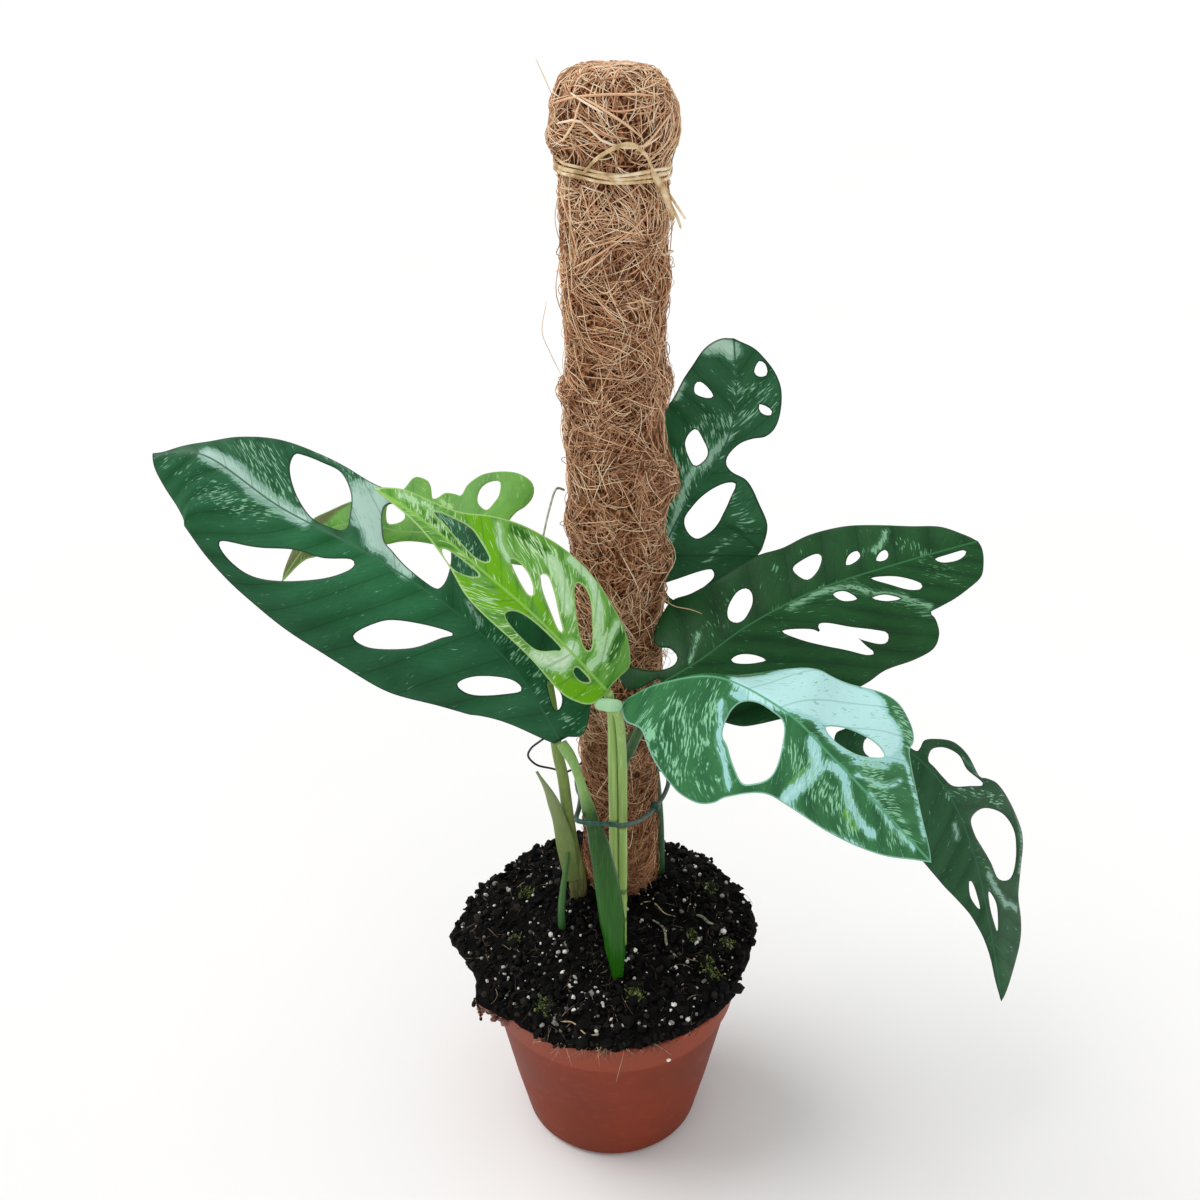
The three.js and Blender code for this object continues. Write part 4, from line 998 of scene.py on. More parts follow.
LEAVES = {leaf.name: leaf for leaf in (
    LeafBlade(
        "leaf_a_large_left", OLD_BLADE, quilting=0.3, slopes=(0.2, 1.6, 0.2, 1.6),
        facing=(-0.1, -0.62, 0.78), plus_lift=[-14, -18, -22, -20], minus_lift=[-20, -26, -28, -24],
        plus_curl=-0.25, minus_curl=-0.2,
        rib=[
            (-20, -22, 228), (-34, -17, 253), (-56, -8, 274), (-90, 8, 291), (-125, 24, 303),
            (-155, 40, 317), (-179, 48, 315),
        ],
        plus_edge=[
            (0, 2.5), (11, 11), (25, 22), (41, 31), (62, 39), (83, 42), (116, 42), (140, 38), (157, 34),
            (173, 29), (188, 26), (196, 18), (202, 7), (204, 0),
        ],
        minus_edge=[
            (0, 2.5), (-4, 9), (-1, 15), (6, 21), (16, 24.5), (29, 25.5), (40, 25), (48, 26.4), (57, 30.4),
            (66, 34.8), (76, 39), (87, 41.5), (108, 40.5), (124, 37), (142, 38), (154, 35.5), (167, 28.5),
            (177, 17), (184, 7), (194, 2), (204, 0),
        ],
        plus_windows=[
            [(157, 25), (146, 19), (132, 12), (119, 9.5), (108, 5), (107, 8.5), (117, 17), (139, 28),
             (150, 29)],
            [(94, 30), (88, 21), (80, 15), (60, 7), (62, 11), (70, 21), (85, 30)],
            [(44, 20), (41, 13), (31, 3.5), (25, 3.5), (32, 15), (38, 20)],
        ],
        minus_windows=[
            [(159, 26), (157, 29), (150, 32), (140, 33.5), (129, 26), (121, 14), (117, 5), (123, 2.5),
             (131, 3), (142, 9), (154, 18)],
            [(114, 27), (104, 11), (97, 7), (88, 4), (76, 3), (74, 6), (76, 13), (81, 22), (90, 32),
             (100, 35), (110, 34)],
            [(22, 8), (15, 10), (11, 7.5), (11, 4.5), (16, 5)],
        ],
        markings={
            PALE: [
                (3.6, 1, [(179, -1.1), (167, -2), (157, -0.5)]),
                (3.2, 1, [(157, -0.5), (146, -0.8), (132, -0.6)]), (8.5, 1, [(124, -30), (113, -17)]),
                (6.5, 1, [(113, -17), (103, -8)]), (3.8, 1, [(103, -8), (88, -3)]),
                (1.2, 0.8, [(63, -7), (54, -3)]), (0.7, 0.7, [(164, -34), (140, -37)]),
            ],
            FLECKS: [
                (8, 1, [(170, -14), (146, -0.8)]), (6, 0.9, [(165, -17), (143, -3)]),
                (5, 0.6, [(199, 3), (178, 9), (153, 7)]), (4, 0.7, [(177, 16), (147, 6)]),
                (6, 1, [(136, -35), (126, -31)]), (9, 0.9, [(93, -38), (87, -34), (74, -25), (63, -16)]),
                (4, 0.9, [(54, -3), (42, -5), (30, -6), (17, -4)]), (4, 0.9, [(7, -7), (-5, -11)]),
            ],
            # Painted highlight along the midrib, and painted shade along the plus edge
            PAINTED_LIGHT_AND_SHADE: [
                (9, 0.5, [(130, 7), (77, 4)]), (9, -0.5, [(161, 36), (110, 38), (40, 28)]),
            ],
        },
    ),
    LeafBlade(
        "leaf_b_young_front", YOUNG_BLADE, slopes=(0.2, 1.2, 0.3, 1.3),
        facing=(0.12, -0.76, 0.64), plus_lift=[20, 36, 36, 25], minus_lift=[-10, -10, -12, -10],
        plus_curl=-0.1, minus_curl=-0.3,
        rib=[
            (-2, -20, 249), (-15, -21, 266), (-29, -19, 281), (-45, -14, 294), (-66, -6, 310), (-85, 2, 320),
        ],
        plus_edge=[
            (0, 2.5), (3, 9), (9, 13), (18, 16), (33, 16.5), (52, 17), (63, 15), (73, 10), (84, 6), (95, 3),
            (105, 1.2), (113, 0),
        ],
        minus_edge=[
            (0, 2.5), (-1, 8), (-2, 14), (2, 19), (8, 23), (19, 26), (34, 28.5), (47, 28.5), (57, 27),
            (67, 24), (76, 18.5), (84, 12), (92, 8.5), (103, 6), (109, 3), (113, 0),
        ],
        plus_windows=[
            [(80, 5), (75, 3), (65, 2.5), (66, 6), (71, 9), (77, 8)],
            [(49, 10), (47, 5), (40, 2.5), (26, 2), (28, 6), (34, 12), (43, 12.5)],
            [(17, 5.5), (16, 2.5), (9, 2.2), (9.5, 4), (13, 6)],
        ],
        minus_windows=[
            [(91, 5), (86, 7.5), (78, 9.5), (72, 8), (66, 5.5), (66, 3.5), (70, 2.2), (78, 2.8), (85, 4)],
            [(60, 10.5), (57, 12), (51, 10.5), (46, 6.5), (47, 4.5), (53, 6.5)],
            [(48, 13.5), (46, 15.5), (41, 12.5), (34, 7), (29, 3.5), (31, 2.8), (38, 6), (44, 9.5)],
            [(36, 20), (34, 22.5), (28, 20.5), (20, 12.5), (16, 7), (18, 5), (24, 8), (30, 13)],
        ],
        markings={
            LIME: [
                (3.2, 1, [(81, -15), (74, -13), (65, -5), (54, -0.3), (46, 1.6)]),
                (3.4, 1, [(66, 12), (57, 11), (49, 5)]), (3.4, 1, [(20, 13), (11, 10), (2, 4)]),
                (1.2, 0.8, [(56, -11), (44, -5), (30, -0.9)]),
            ],
            PALE: [
                (3.4, 1, [(32, 14), (23, 7), (22, -1.0)]), (2.4, 1, [(49, -21), (43, -19), (33, -11)]),
                (1.9, 1, [(43, -27), (33, -27), (23, -21), (18, -13), (10, -8)]),
                (1.5, 1, [(12, -1.3), (11, -11), (13, -22)]), (1, 1, [(72, -18), (67, -13), (60, -10)]),
                (1.2, 0.9, [(104, -3), (93, -6), (83, -4)]),
            ],
            DARK: [
                (3, 1, [(9, -10), (10, -21)]), (2, 0.9, [(66, -21), (51, -22)]),
                (1.8, 0.8, [(90, -1.8), (72, -1.2)]),
            ],
            FLECKS: [
                (7, 0.7, [(100, -4), (73, -3)]), (9, 0.8, [(57, -19), (15, -12)]),
                (6, 0.6, [(63, 11), (30, 14)]),
            ],
        },
    ),
    LeafBlade(
        "leaf_c_behind_left", BACK_BLADE, slopes=(0.2, 1.2, -0.2, 1.0), evenness=0.5,
        facing=(-0.15, -0.6, 0.78), plus_lift=[-6, -6], minus_lift=[-8, -8], plus_curl=0, minus_curl=0,
        rib=[
            (-34.2, 30, 278.6), (-48.4, 38, 282.6), (-65.3, 47, 282), (-86.8, 55, 279.7),
            (-108.4, 62, 280.1), (-127.3, 66, 269.9), (-143.2, 68, 250.9),
        ],
        plus_edge=[
            (0, 2.4), (8, 5), (20, 6.7), (35, 6), (50, 4.2), (58, 4.6), (64, 6.8), (71, 8.5), (81, 7.8),
            (92, 8.4), (100, 8.6), (108, 5.6), (116, 3.4), (124, 1.6), (128.8, 0),
        ],
        minus_edge=[
            (0, 2.4), (4, 4.5), (9, 5.6), (13, 9.2), (12.3, 16.4), (10, 21.2), (8.9, 26), (9.6, 29.7),
            (11.4, 32.2), (14.6, 33.6), (18.7, 34), (24.7, 32.9), (30.4, 30.8), (33.7, 27.8), (36, 24),
            (36.9, 19), (39.7, 19.5), (44.1, 19.8), (46.5, 17.6), (49, 17), (51.4, 22.6), (54, 25.8),
            (59.3, 27.4), (62, 26), (63.8, 21), (66.4, 16.4), (70.8, 14.4), (78.4, 12.6), (84.3, 11),
            (93.5, 10), (105.1, 11.6), (111.7, 9.5), (117.7, 7), (124, 4), (128.8, 0),
        ],
        plus_windows=[],
        minus_windows=[
            [(23.1, 28.1), (27.1, 27.3), (29.6, 24.3), (30, 20.2), (28.7, 16.4), (25.6, 14), (23.3, 13.9),
             (22, 17.8), (21.3, 22)],
            [(68.4, 10.4), (65.3, 12), (60, 8.9), (58.9, 5.5), (62.6, 2.8), (66, 3)],
        ],
        markings={
            PALE: [
                (1.2, 0.7, [(45, -16), (39, -12)]),
            ],
            DARK: [
                (9, 1, [(127, 0), (108, 0)]), (4, 1, [(99, -7), (87, -13)]),
                (2.4, 0.8, [(74, -24), (65, -30)]),
            ],
        },
    ),
    LeafBlade(
        "leaf_d_behind_pole", SHADED_BLADE, quilting=0.25, slopes=(0.3, 1.2, 0.3, 1.2),
        facing=(0, -0.8, 0.6), plus_lift=[0, 0], minus_lift=[0, 0], plus_curl=0.1, minus_curl=-0.2,
        rib=[(17, 52, 257), (23, 53, 277), (31, 55, 293), (42, 58, 308), (48, 60, 328), (46, 62, 354)],
        plus_edge=[
            (0, 2.5), (2, 10), (10, 18), (25, 24), (45, 27), (65, 27), (80, 25.5), (91, 21.5), (98, 16),
            (103, 11), (105.5, 5), (105, 0),
        ],
        minus_edge=[
            (0, 2.5), (-5, 6), (-6, 12), (-3, 19), (8, 26), (20, 32), (31, 35), (40, 35.5), (46, 34.5),
            (51, 31), (54, 23), (57, 14), (57, 7), (58.5, 3.5), (62, 2.8), (67, 5), (70, 9), (72, 14),
            (76, 17), (84, 17.5), (90, 15.5), (96, 11.5), (101, 7), (105, 0),
        ],
        plus_windows=[
            [(90, 16), (91, 14), (88, 11), (84, 9), (83.5, 12), (86, 16)],
            [(62, 15), (66, 13), (63, 9), (59, 5), (54, 5), (50.5, 7), (53, 12), (57, 14.5)],
        ],
        minus_windows=[
            [(92, 7), (95.5, 9), (94, 11.5), (90.5, 12), (90, 9)],
            [(81, 9), (80, 13), (78.5, 14.5), (78, 12), (79, 9.5)],
            [(54.6, 10.8), (50.4, 12.4), (45.7, 13.9), (39, 14.9), (33, 14.2), (26.8, 10.8), (27.4, 6),
             (31.5, 2.4), (38, 2.7), (46.7, 4.2), (52.5, 7)],
            [(2.1, 4.3), (7.1, 10.6), (14, 19.4), (14.4, 22), (10.3, 22.9), (2.4, 18.2), (-3, 13.3),
             (-2.8, 8.6), (0.4, 5.1)],
        ],
        markings={
            PALE: [
                (3.4, 1, [(104, 10), (104, 5), (101, 0.9)]), (1.3, 1, [(52, 4), (61, 3), (68, 0.0)]),
                (1.1, 1, [(52, 7), (41, 4), (33, 1.6), (22, 0.1)]), (1.2, 1, [(91, 21), (83, 24)]),
            ],
            FLECKS: [
                (1.5, 1, [(100, -0.5), (85, 1.0)]), (5, 0.8, [(85, 0.2), (86, -11), (81, -13)]),
                (4, 1, [(76, 2), (76, -6)]), (4.5, 0.9, [(70, 0.5), (52, 5), (33, 2.5), (20, 0.5)]),
                (6, 1, [(72, 9), (50, 12), (30, 8)]), (4, 0.8, [(53, -13), (46, -25)]),
                (2, 1, [(18, -18), (37, -23)]), (4, 0.7, [(64, 15), (49, 11)]),
            ],
        },
    ),
    LeafBlade(
        "leaf_e_large_right", RIGHT_BLADE, quilting=0.5, slopes=(0.35, 0.35, 1.2, 2.4),
        facing=(0.08, -0.62, 0.78), plus_lift=[-10, -12, -12, -10], minus_lift=[-12, -14, -16, -14],
        plus_curl=-0.1, minus_curl=-0.2,
        rib=[(19, -6, 244), (34, -2, 252), (53, 6, 263), (80, 16, 273), (115, 28, 279), (145, 38, 283)],
        plus_edge=[
            (0, 2.4), (-8, 2.8), (-12.5, 5), (-13, 10), (-12, 15), (-7, 12.5), (-2, 7.5), (3, 4.5), (8, 4),
            (10.5, 6.5), (9.5, 11), (6, 14), (6, 19), (13, 25), (24, 28), (32, 25.5), (44, 24.5), (58, 25),
            (68, 23.5), (80, 25), (94, 24), (105, 20.5), (118, 15), (129, 11), (136, 5), (141, 0),
        ],
        minus_edge=[
            (0, 2.4), (3, 8), (6, 16), (12, 24), (19, 32), (31, 38), (45, 41), (60, 42), (78, 41),
            (89, 38.5), (102, 38), (111, 36), (115, 31), (115, 25), (113.5, 22), (118, 21), (125, 19.5),
            (132, 17), (138, 14), (140.5, 9), (141.5, 4), (141, 0),
        ],
        plus_windows=[
            [(47.8, 14.4), (48.6, 11.6), (47, 7.9), (44.3, 5.3), (40.1, 3), (37.1, 3.6), (35.8, 6.4),
             (37.2, 9.8), (40.2, 12.8), (44.5, 15)],
            [(67, 13), (72, 15), (78, 15.5), (79, 13), (75, 8), (70, 5.5), (67.5, 8)],
            [(86, 6), (89, 10), (93, 11), (93, 8), (89.5, 6)],
            [(98, 4), (101, 7), (104, 7.5), (103.5, 4.5), (101, 3)],
        ],
        minus_windows=[
            [(93, 2.5), (103, 4.5), (112, 9.5), (112, 12), (107, 11), (100, 7)],
            [(121, 2.4), (127, 2), (134, 2), (134, 3.8), (130, 5.2), (124, 4.6)],
            [(76, 3.8), (81, 4.2), (85, 8.5), (79, 7.5)],
            [(50.8, 8.4), (61.6, 12.7), (65, 15.4), (65.4, 12.6), (69, 13.1), (78.5, 17.9), (88.4, 22),
             (93.5, 24.7), (92.5, 28), (88.5, 27.7), (82, 24.3), (80.5, 23), (83, 27), (85.7, 30.6),
             (81.9, 30.3), (75.1, 26.7), (65.1, 21.3), (56.5, 15.1)],
            [(27, 7), (31, 7.5), (36, 11), (39, 15), (33, 13), (28, 9.5)],
            [(91.3, 9.9), (95, 9.8), (98.5, 10.8), (102.8, 13.4), (97.5, 12.9), (93.5, 11.4)],
        ],
        markings={
            PALE: [
                (1, 1, [(108, 16), (104, 11), (99, 8)]),
                (0.9, 1, [(58, -2.0), (72, -1.5), (84, -3), (95, -10), (105, -14), (114, -20)]),
                (0.8, 0.9, [(89, -7), (105, -13)]), (0.6, 1, [(23, 9), (14, 2)]),
            ],
            FLECKS: [
                (3, 0.9, [(111, 9), (119, 1.5)]), (2.6, 1, [(100, -13), (113, -23)]),
                (6, 0.6, [(117, -1.8), (127, -11)]), (2, 0.8, [(61, 18), (62, 10)]),
                (3, 0.6, [(89, 8), (99, 10)]), (4, 0.7, [(52, -1.5), (86, -4)]),
                (6, 0.45, [(28, 6), (44, 14)]),
            ],
            # Painted shade across the minus side
            PAINTED_LIGHT_AND_SHADE: [
                (8, -0.4, [(56, -15), (98, -29)]),
            ],
        },
    ),
    LeafBlade(
        "leaf_f_front_right", PALE_BLADE, slopes=(-0.3, 1.6, -0.3, 1.6), evenness=0.7,
        facing=(0.1, -0.55, 0.83), plus_lift=[-74, -56, -22, -8, -4], minus_lift=[-40, -45, -45, -45],
        plus_curl=-0.2, minus_curl=-0.1,
        rib=[
            (4, -22, 246), (18, -26, 256), (39, -32, 262), (62, -44, 255), (78, -50, 241), (94, -54, 225),
            (120, -58, 197),
        ],
        plus_edge=[
            (0, 2.4), (3, 7), (10, 13), (22, 18.5), (36, 24), (50, 28), (60, 30), (70, 33), (85, 40),
            (97, 44.3), (106, 45.8), (113, 44.6), (119, 41), (122, 36), (121.7, 31), (124, 27.4),
            (130.4, 20.4), (138, 12), (146.6, 4.4), (151.5, 0),
        ],
        minus_edge=[
            (0, 2.4), (1, 5), (4, 10), (8.5, 13.4), (14, 18), (22, 30.5), (28, 38), (35, 44.4), (43.5, 48.8),
            (50.6, 50), (57, 49), (62, 45.5), (65, 41), (72, 34.8), (80, 28.5), (87, 26), (96, 24.2),
            (108, 21.9), (121.5, 17.4), (134, 11.5), (144.6, 4.2), (151.5, 0),
        ],
        plus_windows=[
            [(84.2, 8.6), (89, 14.3), (95.6, 18), (105.7, 20.6), (111.9, 19), (106.2, 13.4), (99.4, 9.2),
             (90, 6.9)],
        ],
        minus_windows=[
            [(51.2, 20.5), (49.8, 15.4), (50.1, 9.3), (52.4, 5.2), (57, 3), (63, 2.8), (69, 4), (73.3, 10.7),
             (76.6, 18.5), (76.6, 23.8), (73.4, 28.6), (68, 32.2), (61, 28.5), (55, 23.2)],
        ],
        markings={
            FLECKS: [
                (2.2, 1, [(26, -9), (34, -18), (37, -29)]), (2.2, 1, [(40, -2), (44, -21), (45, -28)]),
                (3.2, 1, [(12, -13), (23, -25), (33, -36), (40, -44)]), (11, 0.65, [(21, -15), (41, -22)]),
                (9, 0.5, [(40, -36), (55, -38)]), (7, 0.9, [(82, -10), (113, -12)]),
                (7, 0.9, [(108, 9), (132, -0.4)]), (5, 1, [(111, 42), (119, 34)]),
            ],
            PALE: [
                (1.2, 1, [(45, -9), (50, -21), (59, -31), (64, -37)]), (1.4, 1, [(48, -4), (53, -4)]),
                (6.5, 1, [(50, 4), (61, 19)]), (10.5, 1, [(66, 20), (84, 29), (97, 33)]),
                (8, 1, [(62, 10), (80, 20), (98, 26)]), (8, 1, [(98, 31), (110, 28)]),
                (6.5, 1, [(56, 1.0), (71, 9), (88, 18)]), (4.5, 1, [(103, 22), (112, 22)]),
                (1.8, 1, [(81, 6), (93, 6), (109, 15), (120, 25)]),
                (0.8, 1, [(99, 5), (113, 14), (119, 27)]), (0.7, 1, [(103, 2), (117, 8), (123, 16)]),
                (2.4, 1, [(82, -1.8), (90, -7), (88, -17), (87, -24)]),
                (1.6, 1, [(92, -3), (99, -1.4), (107, -7), (118, -10), (124, -9)]),
                (0.9, 1, [(112, 0.7), (128, -1.6), (141, -1.1)]), (0.9, 1, [(122, 25), (131, 17), (143, 5)]),
                (0.5, 1, [(88, -25), (105, -24), (124, -15)]), (0.8, 1, [(70, -8), (74, -11)]),
            ],
            LIME: [
                (1.4, 0.7, [(87, -11), (86, -18)]), (1.2, 0.7, [(109, -11), (116, -12)]),
            ],
        },
    ),
    LeafBlade(
        "leaf_g_drooping_right", HANGING_BLADE, quilting=0.3, slopes=(0.3, 1.4, 0.3, 1.4),
        facing=(0.35, -0.68, 0.65), plus_lift=[-8, -8], minus_lift=[-12, -16], plus_curl=-0.1,
        minus_curl=-0.2,
        rib=[(96, 2, 221), (121, 3, 207), (140, 1, 188), (155, -4, 160), (167, -11, 125), (179, -20, 82)],
        plus_edge=[
            (0, 2.4), (-4, 6), (-2, 11), (8, 13), (16, 12), (21, 9), (24, 5), (27, 2.4), (31, 1.9),
            (34, 2.6), (34.8, 5), (35.5, 9.3), (40.6, 14.3), (47.5, 19.5), (55, 21.2), (64.9, 20.6),
            (69, 24.5), (75, 29.5), (87, 33.5), (99, 35), (106, 33), (114, 28), (126, 23), (138, 22),
            (147, 19), (156, 13), (163, 7), (170, 0),
        ],
        minus_edge=[
            (0, 2.4), (-4, 7), (0, 14), (10, 20), (25, 25), (45, 28), (62, 27), (76, 24), (87, 21), (99, 17),
            (109, 12.5), (118, 8.5), (126, 6), (134, 4), (145, 2.4), (158, 1.6), (170, 0),
        ],
        plus_windows=[
            [(41.3, 10), (45.9, 14.3), (52.7, 17.2), (59.2, 16.4), (69.3, 20.9), (64.4, 12.7), (57.8, 4.5),
             (51, 2.6), (44.9, 2.5), (40.7, 2.6), (39.7, 6.5)],
            [(76, 5), (76, 12), (80, 19), (88, 26.5), (97, 30), (105, 28), (113, 23), (115, 18), (110, 11),
             (100, 8.5), (90, 5.5), (83, 4)],
            [(112, 3.2), (118, 6), (124, 6.5), (134, 4), (126, 2.5), (118, 2.2)],
        ],
        minus_windows=[
            [(102, 5.5), (104, 4), (112, 3.2), (118, 3.2), (115, 5), (109, 6.5)],
            [(9.5, 3.2), (13, 2.8), (18, 3.6), (21, 6), (20, 9), (16, 10), (11, 9), (9, 6)],
        ],
        markings={
            PALE: [
                (0.8, 0.7, [(54, 18), (68, 21)]), (0.7, 1, [(72, -4), (79, -5)]),
                (1.2, 1, [(104, 5), (116, 9), (124, 12), (131, 20)]),
                (0.7, 0.8, [(89, 35), (103, 33), (116, 26)]),
            ],
            FLECKS: [
                (3.5, 0.9, [(57, -0.7), (69, 14), (82, 27)]), (2, 0.8, [(90, 1.9), (106, 6)]),
                (3, 0.5, [(134, 11), (150, 13)]),
            ],
            # Painted light near the tip
            PAINTED_LIGHT_AND_SHADE: [
                (4, 0.6, [(146, 4), (160, 3)]),
            ],
        },
    ),
)}


@dataclass
class Rod:
    """An oval rod along a line, drawn out of a circle ring by ring.

    half_width and half_thick, which is the same where it isn't given, are taken evenly along it
    in millimetres, the width lying as near as it can along reference. nodes are swellings: share
    of the length, extra radius and half length. A furrow is a groove along one side: its angle
    from reference, depth and last share.
    """

    path: Outline
    half_width: Sequence[float]
    half_thick: Sequence[float] | None = None
    reference: Point = (1, 0, 0)
    sides: int = 20
    step: float = 1.5
    closed: bool = False
    nodes: Sequence[tuple[float, float, float]] = ()
    furrow: tuple[float, float, float] | None = None
    ribbing: float = 0.025
    rounded: float = 0.0

    def rings(self) -> np.ndarray:
        """Rings of places along the rod.

        Returns:
            The places in millimetres, by ring and by number round the rod.
        """
        line = SmoothLine(self.path, self.closed)
        count = max(8, round(line.length / self.step))
        t = np.arange(count if self.closed else count + 1) / count
        centre, tangent = line.point(t), line.tangent(t)
        reference = np.array(self.reference, float)
        across = unit(reference - tangent * (tangent @ reference)[:, None])
        other = np.cross(tangent, across)
        grow = np.ones(len(t))
        extra = np.zeros(len(t))
        for share, more, half in self.nodes:
            extra += more * np.exp(-(((t - share) * line.length / half) ** 2))
        if self.rounded:
            near = np.minimum(t, 1 - t) * line.length / self.rounded
            grow = np.sqrt(np.clip(1 - (1 - np.clip(near, 0, 1)) ** 2, 0.01, 1))
        angle = np.arange(self.sides) * TAU / self.sides
        skin = 1 + self.ribbing * lumps(angle[None] * 9, t[:, None] * line.length * 0.11, 1)
        if self.furrow:
            where, depth, until = self.furrow
            off = np.abs((angle - where + math.pi) % TAU - math.pi)
            cut = depth * np.exp(-((off / 0.28) ** 2)) - 0.4 * depth * np.exp(-(((off - 0.6) / 0.3) ** 2))
            skin = skin - cut[None] * (1 - smoothstep(until - 0.15, until, t))[:, None]
        wide = (eased(self.half_width, t) * grow + extra)[:, None] * skin * np.cos(angle)
        thick = (eased(self.half_thick or self.half_width, t) * grow + extra)[:, None] * skin * np.sin(angle)
        return centre[:, None] + across[:, None] * wide[..., None] + other[:, None] * thick[..., None]

    def build(self, name: str, finish: Finish) -> bpy.types.Object:
        """Makes the rod."""
        return draw_out(name, self.rings(), finish.material(), self.closed)


@dataclass
class NurseryPot:
    """A 12 cm injection-moulded pot with a stepped rim band and drain holes."""

    rim_radius: float = 60
    base_radius: float = 42.8
    height: float = 95
    wall: float = 1.4
    floor: float = 1.8
    rim_band: float = 18
    rim_step: float = 1.6
    base_round: float = 4
    drain_radius: float = 4
    drain_ring: float = 27
    drain_count: int = 6
    turns: int = 144
    finish: Finish = PotPlastic("polypropylene, terracotta brown")

    def taper(self, z: float) -> float:
        """Outer radius below the rim band."""
        top = self.rim_radius - self.rim_step
        return self.base_radius + (top - self.base_radius) * z / self.height

    def profile(self) -> Outline:
        """Radius and height from the middle of the underside round to the middle of the floor."""
        foot = self.height - self.rim_band
        below, band = self.taper(foot), self.taper(foot) + self.rim_step
        top, edge = self.rim_radius, self.height
        bend, size = np.linspace(0, math.pi / 2, 5), self.base_round
        rounded = [
            (self.base_radius - size * (1 - math.sin(a)), size * (1 - math.cos(a)) * 0.98) for a in bend
        ]
        return [
            (0, 0), *rounded, (self.taper(30), 30), (self.taper(foot - 0.8), foot - 0.8),
            (below + 0.25, foot - 0.2), (band - 0.3, foot + 0.8), (band, foot + 1.6),
            (top - 0.45, edge - 2.6), (top - 0.1, edge - 1.8), (top, edge - 0.8), (top - 0.25, edge - 0.15),
            (top - 0.7, edge), (top - self.wall, edge - 0.4), (band - self.wall, foot + 2),
            (below - self.wall, foot - 1), (self.taper(self.floor + 2.2) - self.wall, self.floor + 2.2),
            (self.taper(self.floor) - self.wall - 2, self.floor), (0, self.floor),
        ]

    def build(self) -> list[bpy.types.Object]:
        """Spins the pot and cuts its drain holes.

        Returns:
            The pot, as the only piece.
        """
        deselect()
        bpy.ops.mesh.primitive_plane_add(size=0.01)
        pot = bpy.context.object
        pot.name = pot.data.name = "pot_shell"
        bpy.ops.object.mode_set(mode="EDIT")
        bpy.ops.mesh.select_all(action="SELECT")
        bpy.ops.mesh.merge(type="CENTER")
        outline = self.profile()
        for (r, z), (last_r, last_z) in zip(outline[1:], outline):
            bpy.ops.mesh.extrude_vertices_move(
                TRANSFORM_OT_translate={"value": ((r - last_r) * MM, 0, (z - last_z) * MM)},
            )
        bpy.ops.mesh.select_all(action="SELECT")
        bpy.ops.mesh.spin(steps=self.turns, angle=TAU, center=(0, 0, 0), axis=(0, 0, 1))
        bpy.ops.mesh.select_all(action="SELECT")
        bpy.ops.mesh.remove_doubles(threshold=0.01 * MM)
        bpy.ops.mesh.normals_make_consistent(inside=False)
        bpy.ops.object.mode_set(mode="OBJECT")
        pot.data.materials.append(self.finish.material())
        for number in range(self.drain_count):
            turn = number / self.drain_count * TAU
            deselect()
            bpy.ops.mesh.primitive_cylinder_add(
                vertices=32, radius=self.drain_radius * MM, depth=4 * self.floor * MM,
                location=(
                    self.drain_ring * math.cos(turn) * MM, self.drain_ring * math.sin(turn) * MM,
                    self.floor / 2 * MM,
                ),
            )
            drill = bpy.context.object
            finish_by(pot, "BOOLEAN", operation="DIFFERENCE", solver="EXACT", object=drill)
            bpy.data.objects.remove(drill)
        deselect()
        pot.select_set(True)
        bpy.context.view_layer.objects.active = pot
        bpy.ops.object.shade_smooth_by_angle(angle=math.radians(32))
        return [stand_for(pot, "pot")]


